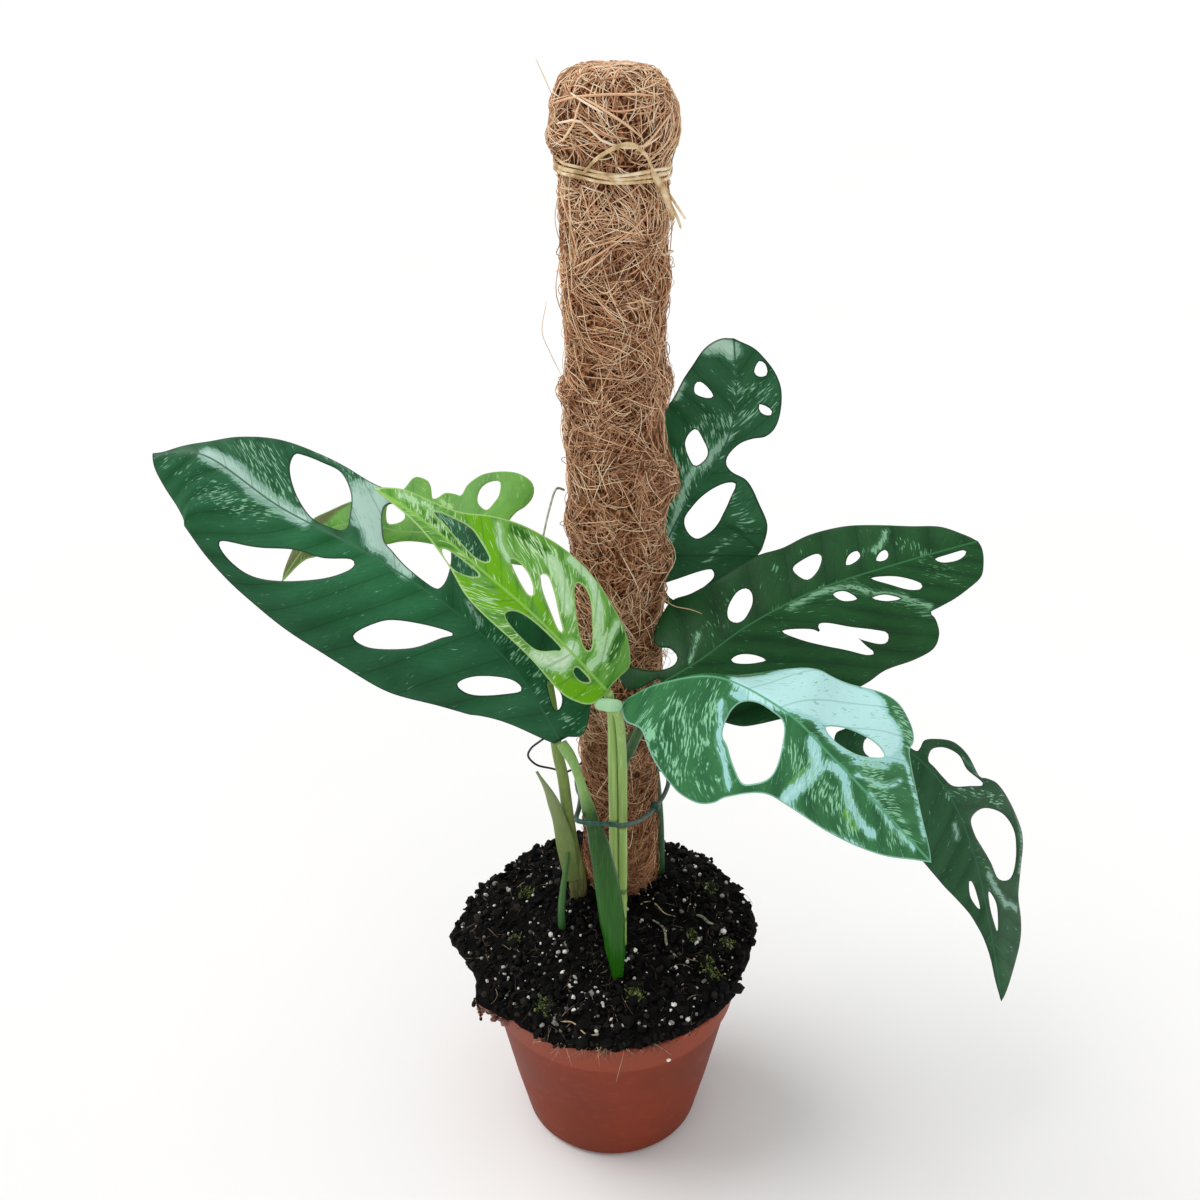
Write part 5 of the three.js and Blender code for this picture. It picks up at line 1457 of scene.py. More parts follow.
@dataclass
class Soil:
    """A mound of black peat with perlite, bits of bark and root, moss and stray coir."""

    crown: Point = (2, 22, 120)
    fall: float = 0.0033
    clods: float = 0.7
    inner_radius: float = 57.9
    rim_height: float = 95.45
    raggedness: float = 1.1
    sides: int = 260
    lip: tuple[tuple[float, float], ...] = (
        (0, 66), (18, 70), (31, 67), (48, 70), (60, 67), (76, 70), (95, 71), (114, 72), (126, 72), (143, 68),
        (150, 74), (163, 73), (173, 77), (182, 71), (194, 65), (210, 68), (226, 62), (246, 63), (262, 61),
        (285, 60), (310, 60.5), (330, 63), (346, 61.5), (360, 66),
    )
    pole_foot: Point = (4, 28)
    crumb_count: int = 2600
    perlite_count: int = 560
    peat: Finish = Mottled(
        "peat, moist and black-brown", colours=("#020202", "#050404", "#0b0908", "#15100d"), size=1.6,
        spread=(0.3, 0.72), roughness=0.92, relief=0.8, level=0.12,
    )
    crumbs: Finish = Mottled(
        "peat crumbs and bark, black-brown", colours=("#010101", "#040303", "#080706", "#100d0b", "#2c2621"),
        size=1.2, spread=(0.1, 1.0), roughness=0.85, relief=0.4, level=0.2, tone=True,
    )
    perlite: Finish = Mottled(
        "perlite, foamed white glass", colours=("#33332f", "#6f6e69", "#adaca6", "#dddbd5", "#f1efea"),
        size=0.8, spread=(0.05, 0.95), roughness=0.85, relief=0.3, tone=True,
    )
    wood: Finish = Mottled(
        "dead leaf base, dry grey-green", colours=("#4c4f3f", "#787b66", "#a2a28b"), size=1.4,
    )
    root: Finish = Mottled(
        "dead root, pale straw", colours=("#8a7550", "#b39d74", "#c9b78f"), size=1.2, roughness=0.7,
        relief=0.1,
    )
    moss: Finish = Mottled(
        "moss, damp yellow-green", colours=("#1a2313", "#38461f", "#5b6a35", "#858f58"), size=0.8,
        spread=(0.1, 0.95), relief=0.1, level=0.25, tone=True,
    )
    fibre: Finish = Mottled(
        "fine root, brown to straw", colours=("#1c1410", "#40322a", "#826e5c", "#c4b195"), size=2,
        spread=(0.05, 0.95), relief=0.05, level=0.25, tone=True,
    )
    clod: Finish = Mottled(
        "coir dust and peat, red-brown", colours=("#231611", "#523831", "#80594e", "#a98376"), size=1.2,
        spread=(0.1, 0.95), roughness=0.9, relief=0.3, level=0.2, tone=True,
    )

    def height(self, x: np.ndarray, y: np.ndarray) -> np.ndarray:
        """Height of the mound."""
        away = (x - self.crown[0]) ** 2 + (y - self.crown[1]) ** 2
        return self.crown[2] - self.fall * away + self.clods * lumps(x, y, 0.31)

    def edge(self, turn: np.ndarray) -> np.ndarray:
        """Radius of the ragged lip at angles in radians."""
        angles, radii = np.array(self.lip).T
        place = np.stack([60 * np.cos(turn), 60 * np.sin(turn), np.zeros(np.shape(turn))], -1)
        ragged = self.raggedness * (grain(place, 6, 8) + 0.6 * grain(place, 2.7, 9))
        return np.interp(np.degrees(turn) % 360, angles, radii) + ragged

    def on_top(self, flat: np.ndarray, over: float | np.ndarray = 0.0) -> np.ndarray:
        """Puts places in the plan on the mound's surface, or some millimetres over it."""
        x, y = flat[..., 0], flat[..., 1]
        return np.stack([x, y, self.height(x, y) + over], -1)

    def share_out(self, flat: np.ndarray) -> np.ndarray:
        """How far out x, y rows lie, from 0 in the middle to 1 at the lip."""
        return np.hypot(*flat.T) / self.edge(np.arctan2(flat[:, 1], flat[:, 0]))

    def mound(self) -> bpy.types.Object:
        """Draws the mound up from the pot's floor, over the rim and in to the crown."""
        turn = np.arange(self.sides) * TAU / self.sides
        edge = self.edge(turn)
        ring = around(turn)
        below = [
            (38.5, 2.2), (40.5, 5), (54, 76), (self.inner_radius - 0.3, 94.5),
            (self.inner_radius - 0.3, 95.5),
        ]
        rings = [np.column_stack([ring * r, np.full(self.sides, z)]) for r, z in below]
        rings.append(np.column_stack([ring * (edge - 1.5)[:, None], np.full(self.sides, self.rim_height)]))
        shares = np.concatenate([[1.0, 0.99, 0.975, 0.955], np.linspace(0.93, 0.03, 46)])
        drop = np.interp(shares, [0.955, 0.975, 0.99, 1.0], [0, 0.5, 1.5, 3])
        for share, down in zip(shares, drop):
            flat = ring * (edge * share)[:, None]
            top = np.maximum(self.rim_height + 0.8, self.height(flat[:, 0], flat[:, 1]) - down)
            rings.append(np.column_stack([flat, top]))
        piece = draw_out("soil_mound", np.array(rings), self.peat.material())
        where = places(piece)
        outside = smoothstep(94, 97, where[:, 2])
        rough = 1.1 * grain(where, 6, 1) + 0.9 * grain(where, 2.6, 2) + 0.5 * grain(where, 1.3, 3)
        move_to(piece, where + normals(piece) * (outside * rough * 0.9)[:, None])
        return piece

    def scattered(self, rng: np.random.Generator, count: int, spread: float = 1.0) -> np.ndarray:
        """Random places over the mound as x, y rows, clear of the pole."""
        turn = rng.uniform(0, TAU, 2 * count)
        r = np.sqrt(rng.uniform(0, 1, 2 * count)) * self.edge(turn) * spread
        flat = r[:, None] * around(turn)
        free = np.hypot(*(flat - self.pole_foot).T) > 17
        return flat[free][:count]

    def bit(self, detail: int) -> bpy.types.Object:
        """One rough crumb, to be copied."""
        deselect()
        bpy.ops.mesh.primitive_ico_sphere_add(subdivisions=detail, radius=MM)
        crumb = bpy.context.object
        bpy.ops.object.mode_set(mode="EDIT")
        bpy.ops.mesh.select_all(action="SELECT")
        bpy.ops.transform.vertex_random(offset=0.3 * MM, seed=4)
        bpy.ops.object.mode_set(mode="OBJECT")
        return crumb

    def build(self) -> list[bpy.types.Object]:
        """Makes the mound and everything strewn on it."""
        rng = np.random.default_rng(7)
        pieces = [self.mound()]
        flat = self.scattered(rng, self.crumb_count)
        size = rng.gamma(2.2, 0.32, self.crumb_count) + 0.35
        top = self.on_top(flat)
        top[:, 2] += 0.35 * size - smoothstep(0.95, 1, self.share_out(flat))
        pieces.append(copies("soil_crumbs", self.bit(1), top, size, rng, self.crumbs.material(), 0.6))
        flat = self.scattered(rng, self.perlite_count, 0.96)
        size = np.minimum(0.24 + rng.gamma(2.0, 0.19, self.perlite_count), 1.25)
        top = self.on_top(flat, 0.5 * size)
        tones = rng.uniform(0, 1, self.perlite_count)
        # One bead stuck to the pot under the rim
        top[0], size[0], tones[0] = (24.6, -55.2, 83.8), 0.85, 1
        finish = self.perlite.material()
        pieces.append(copies("soil_perlite", self.bit(2), top, size, rng, finish, 0.3, tones))
        pieces += [self.moss_leaves(rng), self.fine_roots(rng), self.hanging_clod(rng), self.clinging()]
        pieces += self.sticks()
        return [stand_for(piece, "soil") for piece in pieces]

    def moss_leaves(self, rng: np.random.Generator) -> bpy.types.Object:
        """Low cushions of moss: many small flat leaves."""
        # Middle and half width of each cushion
        cushions = [
            (36, -8, 3.5), (42, -22, 4), (45, -27, 3), (10, -39, 3.5), (-29, -43, 4), (-40, 20, 4),
            (46, 24, 4), (52, -9, 3), (-44, -8, 2.5),
        ]
        count = 130
        flat = np.vstack([rng.normal(0, half * 0.5, (count, 2)) + (x, y) for x, y, half in cushions])
        top = self.on_top(flat, rng.uniform(0.1, 1.5, len(flat)))
        deselect()
        bpy.ops.mesh.primitive_ico_sphere_add(subdivisions=1, radius=MM)
        leaf = bpy.context.object
        move_to(leaf, places(leaf) * (1, 0.45, 0.16))
        return copies("soil_moss", leaf, top, rng.uniform(0.5, 1.3, len(top)), rng, self.moss.material())

    def fine_roots(self, rng: np.random.Generator) -> bpy.types.Object:
        """Fine roots and fibres, most lying on the mound and some hanging over the front of the rim.

        Returns:
            The roots, drawn as one piece.
        """
        lying, hanging, steps = 380, 64, 7
        share = np.linspace(0, 1, steps)
        heading = rng.uniform(0, TAU, lying)
        length = rng.gamma(3, 1.8, lying) + 1.5
        bend = rng.normal(0, 0.2, lying) * length
        way = around(heading)
        side = np.stack([-way[:, 1], way[:, 0]], -1)
        flat = self.scattered(rng, lying, 0.93)[:, None] + way[:, None] * (length[:, None] * share)[..., None]
        flat = flat + side[:, None] * (bend[:, None] * np.sin(math.pi * share))[..., None]
        # No root lies out past the mound's edge
        past = np.maximum(self.share_out(flat.reshape(-1, 2)), 1)
        on_mound = self.on_top(flat / past.reshape(lying, steps, 1), 0.7)
        # Angles round the rim in degrees, most of them in the thickest tufts
        turn = np.radians(np.concatenate([
            rng.normal(264, 4, 24), rng.normal(287, 2, 12), rng.normal(250, 2, 8), rng.uniform(232, 308, 20),
        ]))[:, None]
        drop = rng.gamma(2.2, 2.6, (hanging, 1))
        out = self.edge(turn[:, 0])[:, None] - 3 + 3.6 * np.sin(0.5 * math.pi * np.minimum(share * 2.2, 1))
        turn = turn + rng.normal(0, 0.07, (hanging, 1)) * share
        turn = turn + rng.normal(0, 0.03, (hanging, 1)) * share ** 2
        over = np.stack([out * np.cos(turn), out * np.sin(turn), 97 - drop * share ** 1.6], -1)
        radii = rng.uniform(0.07, 0.16, lying + hanging)[:, None] * np.array([0.8, 1, 1, 1, 0.9, 0.7, 0.4])
        tones = np.concatenate([rng.uniform(0, 0.8, lying), rng.uniform(0.3, 1, hanging)])
        return strands("soil_fine_roots", np.vstack([on_mound, over]), radii, tones, self.fibre.material())

    def hanging_clod(self, rng: np.random.Generator) -> bpy.types.Object:
        """The clod that hangs over the rim on the left, running out to a point."""
        count = 150
        share = np.sort(rng.uniform(0, 1, count) ** 1.4)
        line = [(-50.5, -34.5, 92), (-56, -28, 92.5), (-59.6, -24.5, 89), (-60, -24.8, 77)]
        centres = SmoothLine(line).point(share)
        spread = 1.9 * (1 - share) + 0.1
        centres = centres + rng.normal(0, 1, (count, 3)) * spread[:, None]
        size = (0.7 + 1.3 * (1 - share)) * rng.uniform(0.7, 1.3, count)
        return copies("soil_clod_left", self.bit(1), centres, size, rng, self.clod.material(), 0.5)

    def clinging(self) -> bpy.types.Object:
        """Peat that clings to the foot of the pole."""
        rng = np.random.default_rng(31)
        count = 420
        turn = rng.uniform(0, TAU, count)
        up = rng.gamma(1.2, 1.6, count)
        out = 16.3 + rng.normal(0, 0.5, count) + 0.9 * np.exp(-up)
        top = self.on_top(self.pole_foot + out[:, None] * around(turn), up)
        size = rng.uniform(0.35, 1.1, count) * np.exp(-up / 9)
        return copies("soil_crumbs_pole", self.bit(1), top, size, rng, self.crumbs.material(), 0.6)

    def sticks(self) -> list[bpy.types.Object]:
        """Twigs and roots that lie on the mound."""
        # x, y of both ends, radius and finish
        laid = {
            "soil_twig_front": ((18, -2), (30, -22), 0.6, self.wood),
            "soil_twig_right": ((38, 3), (47, -1), 0.75, self.wood),
            "soil_root_front": ((-22, -50), (-6, -56), 0.4, self.root),
            "soil_root_back": ((14, 8), (29, 1), 0.3, self.root),
        }
        pieces = []
        for name, (start, end, radius, finish) in laid.items():
            a, b = np.array(start, float), np.array(end, float)
            side = np.array([a[1] - b[1], b[0] - a[0]]) * 0.08
            flat = np.array([a, a * 0.7 + b * 0.3 + side, a * 0.3 + b * 0.7 - side, b])
            rod = Rod(
                self.on_top(flat, radius + 0.5), [radius * 0.8, radius, radius * 0.6], reference=(0, 0, 1),
                sides=10, step=1.0, ribbing=0.05, rounded=0.6,
            )
            pieces.append(rod.build(name, finish))
        return pieces


@dataclass
class CoirPole:
    """Matted coconut fibre wrapped on a stick, under a raffia binding."""

    x: float = 3.4
    y: float = 28
    lean: float = -0.012
    lean_from: float = 170
    bottom: float = 62
    top: float = 445
    girth: tuple[tuple[float, float], ...] = (
        (62, 15), (90, 15.8), (120, 16), (190, 15.8), (235, 16.9), (262, 17.4), (300, 17), (330, 17.4),
        (360, 16.9), (395, 17), (407, 17.4), (412, 17), (421, 17), (426, 19.2), (435, 19), (440, 16.8),
        (443.5, 12.5), (445, 8),
    )
    # Tufts that stand out: height, azimuth in degrees, how far, half of its reach up the pole
    tufts: tuple[tuple[float, float, float, float], ...] = (
        (424, 180, 1.8, 4), (346, 178, 3, 5), (296, 180, 2, 6), (311, 0, 5.6, 9), (281, 2, 4.2, 7),
        (348, 0, 3.4, 6), (385, 0, 1.8, 7), (330, 182, 1, 6), (428, 2, 1.4, 8), (268, 178, 1.2, 7),
    )
    tuft_spread: float = 34
    relief: float = 0.45
    fibre_count: int = 11500
    fibre_steps: int = 8
    tuft_size: int = 8
    stray_count: int = 160
    # Bands over the head, as height and azimuth in degrees
    bands: tuple[Outline, ...] = (
        ((435.5, 203), (438, 232), (439, 262), (439, 292), (438, 318)),
        ((438.5, 238), (436, 258), (431.5, 281), (427.5, 296)),
        ((430.5, 212), (432, 240), (427, 262), (425, 290), (428, 318)),
        ((439, 225), (437, 244), (434.5, 262)),
        ((426, 222), (431, 233), (437.5, 240)),
        ((434, 334), (429, 312), (424, 290)),
        ((410, 208), (401, 222), (392, 231)),
        ((389, 222), (394, 252), (402, 290), (409, 318)),
    )
    loose_ends: tuple[Outline, ...] = (
        ((-22.5, 28, 375.5), (-24.4, 28, 366), (-22, 28, 359), (-18, 27, 351)),
        ((-17.5, 20, 354), (-13, 16.6, 350), (-8.4, 12.6, 345.8)),
        ((-23.5, 26, 447), (-21, 26, 442), (-18.6, 26, 437)),
        ((17, 22, 270), (23.3, 15, 266.7), (31, 13.5, 265.4), (39, 13, 262)),
    )
    # The mat is darker than the loose fibres: painted shade in the gaps between them
    core: Finish = Mottled(
        "coir mat, brown in its depth", colours=("#28140a", "#59341e", "#926340", "#c5956b"), size=1.1,
        stretch=2.0, roughness=0.95, relief=0.9, level=0.2,
    )
    fibre: Finish = Mottled(
        "coir fibre, tan", colours=("#5c3420", "#ad7856", "#e3b18a", "#f7d6ae", "#fdebcf"), size=3,
        spread=(0.0, 1.0), roughness=0.75, relief=0.05, level=0.2, tone=True,
    )

    def axis(self, z: np.ndarray) -> np.ndarray:
        """Middle of the pole at heights."""
        return np.stack([self.x + self.lean * (z - self.lean_from), np.full(np.shape(z), self.y)], -1)

    def radius(self, z: np.ndarray, turn: np.ndarray) -> np.ndarray:
        """Radius of the wrapped coir at heights and angles in radians, as the CAD has it."""
        heights, radii = np.array(self.girth).T
        azimuth = np.degrees(turn) % 360
        total = np.interp(z, heights, radii) + self.relief * lumps(z, azimuth * 0.5, 0.24)
        for height, towards, reach, half in self.tufts:
            turned = (azimuth - towards + 540) % 360 - 180
            total = total + reach * np.exp(-(((z - height) / half) ** 2) - (turned / self.tuft_spread) ** 2)
        return total

    def mat(self) -> bpy.types.Object:
        """The dense mat under the loose fibres."""
        sides = 120
        turn = np.arange(sides) * TAU / sides
        heights = np.concatenate([np.arange(self.bottom, 438, 2.2), [440, 442, 443.5, 444.4, self.top]])
        rings = []
        for z in heights:
            level = np.full(sides, z)
            rings.append(self.laid(level, turn, -0.7))
        inner = rings[-1].mean(0)
        for share in (0.7, 0.4, 0.1):
            rings.append(inner + (rings[len(heights) - 1] - inner) * share)
        piece = draw_out("pole_coir_mat", np.array(rings), self.core.material())
        where = places(piece)
        rough = 0.8 * grain(where * (1, 1, 0.6), 5, 5) + 0.6 * grain(where, 2.4, 6)
        move_to(piece, where + normals(piece) * (rough * smoothstep(100, 112, where[:, 2]))[:, None])
        return piece

    def fibres(self) -> list[bpy.types.Object]:
        """Loose curly fibres all over the mat, in tufts that swirl together.

        Returns:
            The fibres in three pieces, from the foot to the head.
        """
        rng = np.random.default_rng(11)
        heights, radii = np.array(self.girth).T
        # The outline over the head, read by the distance along it from the soil up
        z_fine = np.concatenate([np.linspace(113, 445, 400), np.full(12, 445.3)])
        r_fine = np.concatenate([np.interp(z_fine[:400], heights, radii), np.linspace(7.4, 0.3, 12)])
        run = np.concatenate([[0], np.cumsum(np.hypot(np.diff(z_fine), np.diff(r_fine)))])
        rise = unit(np.stack([np.gradient(z_fine), -np.gradient(r_fine)], -1))
        count = self.fibre_count
        groups = count // self.tuft_size
        own = rng.integers(0, groups, count)
        middle = rng.uniform(-4, run[-1], groups)[own] + rng.normal(0, 2.2, count)
        turn = rng.uniform(0, TAU, groups)[own] + rng.normal(0, 0.13, count)
        heading = rng.uniform(0, TAU, groups)[own] + rng.normal(0, 0.28, count)
        curly = np.where(rng.uniform(0, 1, groups) < 0.4, 0.11, 0.04)
        curve = (rng.normal(0, 1, groups) * curly)[own] + rng.normal(0, 0.03, count)
        length = np.where(curly[own] > 0.1, rng.uniform(6, 15, count), rng.uniform(8, 24, count))
        step = length / (self.fibre_steps - 1)
        loose = rng.uniform(0, 1, count) < 0.1
        loft = np.where(loose, rng.uniform(1.0, 2.4, count), rng.uniform(0.1, 1.0, count))
        base = rng.uniform(-0.5, 0.7, count)
        lines = np.empty((count, self.fibre_steps, 3))
        place = middle.copy()
        for index in range(self.fibre_steps):
            inside = np.clip(place, 0, run[-1])
            z, r = np.interp(inside, run, z_fine), np.interp(inside, run, r_fine)
            body = z < 436
            full = np.where(body, self.radius(z, turn), r)
            share = index / (self.fibre_steps - 1)
            arch = math.sin(math.pi * (0.15 + 0.85 * share)) ** 2
            lift = base + loft * (1 - 0.35 * smoothstep(410, 425, z)) * arch
            out = full + lift * np.interp(inside, run, rise[:, 0])
            middle_xy = self.axis(z)
            lines[:, index, 0] = middle_xy[:, 0] + out * np.cos(turn)
            lines[:, index, 1] = middle_xy[:, 1] + out * np.sin(turn)
            lines[:, index, 2] = z + lift * np.interp(inside, run, rise[:, 1])
            heading = heading + curve * step + rng.normal(0, 0.07, count)
            place = place + step * np.cos(heading)
            turn = turn + step * np.sin(heading) / np.maximum(r, 6)
        # The head is trimmed flat
        rise, trim = lines[:, :, 2], self.top - 0.2
        lines[:, :, 2] = np.where(rise > trim, trim + 0.35 * (rise - trim), rise)
        level = lines[:, :, 2].mean(1)
        # The fibres grow thicker over the head, and their tones grow paler towards the head and darker
        # towards the foot
        high, damp = smoothstep(340, 432, level), 1 - smoothstep(135, 230, level)
        thick = rng.uniform(0.09, 0.21, count) * (1 + 0.3 * high)
        radii = thick[:, None] * np.array([0.6, 1, 1, 1, 1, 0.9, 0.75, 0.35])
        # Painted light and shade: 9 mm patches make the fibres' tones lighter and darker, as light and shade
        # on the mat's lumps
        painted_clump_light = 0.16 * grain(lines[:, 4], 9, 4)
        tones = rng.beta(1.4, 1.6, count) * (0.92 - 0.38 * damp) + 0.16 * high + 0.02 - 0.06 * damp
        tones = np.clip(tones + painted_clump_light, 0, 1)
        keep = lines[:, :, 2].min(1) > 112.5
        lines, radii, tones = lines[keep], radii[keep], tones[keep]
        parts = enumerate(np.array_split(np.argsort(lines[:, 0, 2]), 3), 1)
        finish = self.fibre.material()
        return [
            strands(f"pole_coir_fibres_{number}", lines[chosen], radii[chosen], tones[chosen], finish)
            for number, chosen in parts
        ]

    def laid(self, height: np.ndarray, turn: np.ndarray, lift: float | np.ndarray) -> np.ndarray:
        """Places on the wrapped coir at heights and angles in radians, some millimetres off it."""
        r = self.radius(height, turn) + lift
        flat = self.axis(height) + r[..., None] * around(turn)
        return np.concatenate([flat, height[..., None]], -1)

    def strays(self) -> bpy.types.Object:
        """Long pale strands laid across the mat, the bands over the head and the loose ends beside it.

        Returns:
            The strays, as one piece.
        """
        rng = np.random.default_rng(23)
        count, curls, steps = self.stray_count, 34, 12
        share = np.linspace(0, 1, steps)
        turn = rng.uniform(0, TAU, (count, 1)) + rng.normal(0, 0.75, (count, 1)) * share
        bow = rng.normal(0, 2.5, (count, 1)) * np.sin(math.pi * share)
        height = rng.uniform(120, 436, (count, 1)) + rng.normal(0, 17, (count, 1)) * share + bow
        height = np.clip(height, 114, 439)
        lines = [self.laid(height, turn, 0.8 + 0.9 * np.sin(math.pi * share) * rng.uniform(0, 1, (count, 1)))]
        for course in self.bands:
            place = SmoothLine(course).point(share)
            lines.append(self.laid(place[:, 0], np.radians(place[:, 1]), 1.3)[None])
        lines += [SmoothLine(course).point(share)[None] for course in self.loose_ends]
        # Curls that stand out on the right, over leaf E
        turn = rng.normal(0, 0.14, (curls, 1)) + rng.normal(0, 0.12, (curls, 1)) * share
        height = rng.uniform(236, 264, (curls, 1)) + rng.normal(0, 6, (curls, 1)) * share
        reach = rng.uniform(1.5, 7, (curls, 1)) * np.sin(math.pi * share * rng.uniform(0.5, 1.0, (curls, 1)))
        lines.append(self.laid(height + 1.6 * np.sin(share * 9 + turn * 40), turn, reach))
        lines = np.vstack(lines)
        thick = rng.uniform(0.11, 0.2, len(lines))
        thick[count:count + len(self.bands)] = 0.38
        thick[-curls:] = 0.1
        radii = thick[:, None] * np.array([0.5, 0.8, *[1] * (steps - 5), 0.9, 0.7, 0.4])
        tones = rng.uniform(0.55, 1, len(lines))
        return strands("pole_coir_strays", lines, radii, tones, self.fibre.material(), 4)

    def build(self) -> list[bpy.types.Object]:
        """Makes the mat and its fibres."""
        pieces = [self.mat(), *self.fibres(), self.strays()]
        return [stand_for(piece, "pole_coir") for piece in pieces]


@dataclass
class RaffiaBinding:
    """Raffia tied round the pole's head, with a loose loop and ends."""

    pole: CoirPole
    height: float = 416.5
    clear: float = 1.75
    strands: int = 5
    finish: Finish = Mottled(
        "raffia, dry straw", colours=("#b09468", "#d8ba8e", "#ead3aa", "#f8ead0"), size=5, roughness=0.7,
        relief=0.1, level=0.35,
    )

    def turn_path(self, lift: float, out: float) -> Outline:
        """One turn round the pole."""
        path = []
        for k in range(24):
            turn = k / 24 * TAU
            heights = np.array([self.height - 2, self.height, self.height + 2])
            r = float(self.pole.radius(heights, np.full(3, turn)).max()) + self.clear + out
            x, y = self.pole.axis(np.array(self.height))
            sway = 0.5 * math.sin(2 * turn + lift * 5) + 0.3 * math.sin(5 * turn + lift * 9)
            tilt = 1.5 - 1.4 * max(0.0, -math.sin(turn)) - 0.5 * math.cos(turn)
            path.append((x + r * math.cos(turn), y + r * math.sin(turn), self.height + lift + sway + tilt))
        return path

    def build(self) -> list[bpy.types.Object]:
        """Makes the turns, the loop and the ends.

        Returns:
            The turns, the arch, the thread and the loose ends.
        """
        rods = {}
        for number in range(self.strands):
            lift = (number - (self.strands - 1) / 2) * 0.68
            out = 0.25 * math.cos(number * 2.4)
            rods[f"raffia_turn_{number + 1}"] = Rod(
                self.turn_path(lift, out - 0.3), [0.48], [0.34], reference=(0, 0, 1), sides=8, closed=True,
                ribbing=0.12,
            )
        # The arch over the front, the end that falls on the right and the thin one on the left
        loose = {
            "raffia_arch": [
                (-9.3, 12, 417.2), (-3.7, 6.8, 423), (4.5, 5.4, 426.5), (10, 7, 423.7), (13.4, 14.2, 417),
                (17.6, 13.4, 412.2), (20.4, 8.4, 409), (23.1, 4, 406),
            ],
            "raffia_end": [(14.6, 15.8, 416), (18, 13, 409.5), (20.6, 11, 405.4), (22, 10, 402)],
            "raffia_tail": [(12.5, 13, 418), (15.8, 11.5, 413), (18.2, 10, 408.5), (19.4, 9, 404.5)],
            "raffia_thread": [
                (-13, 13.5, 417.5), (-13.6, 11.5, 412), (-13.2, 10.8, 405), (-13.6, 11, 398), (-13, 11, 392),
            ],
        }
        for name, path in loose.items():
            thin = {"raffia_thread": 0.3, "raffia_tail": 1.0}.get(name, 0.55)
            rods[name] = Rod(
                path, [thin, thin * 1.1, thin * 0.8], [thin * 0.6], reference=(0, 0, 1), sides=8, step=0.9,
                ribbing=0.12, rounded=0.5,
            )
        pieces = [rod.build(name, self.finish) for name, rod in rods.items()]
        return [stand_for(piece, "pole_raffia") for piece in pieces]


def stalk_end(name: str) -> Point:
    """Where a stalk ends, 1.1 mm short of its blade's midrib."""
    line = LEAVES[name].line
    start = np.array([0.0])
    return tuple((line.point(start) - 1.1 * line.tangent(start))[0])


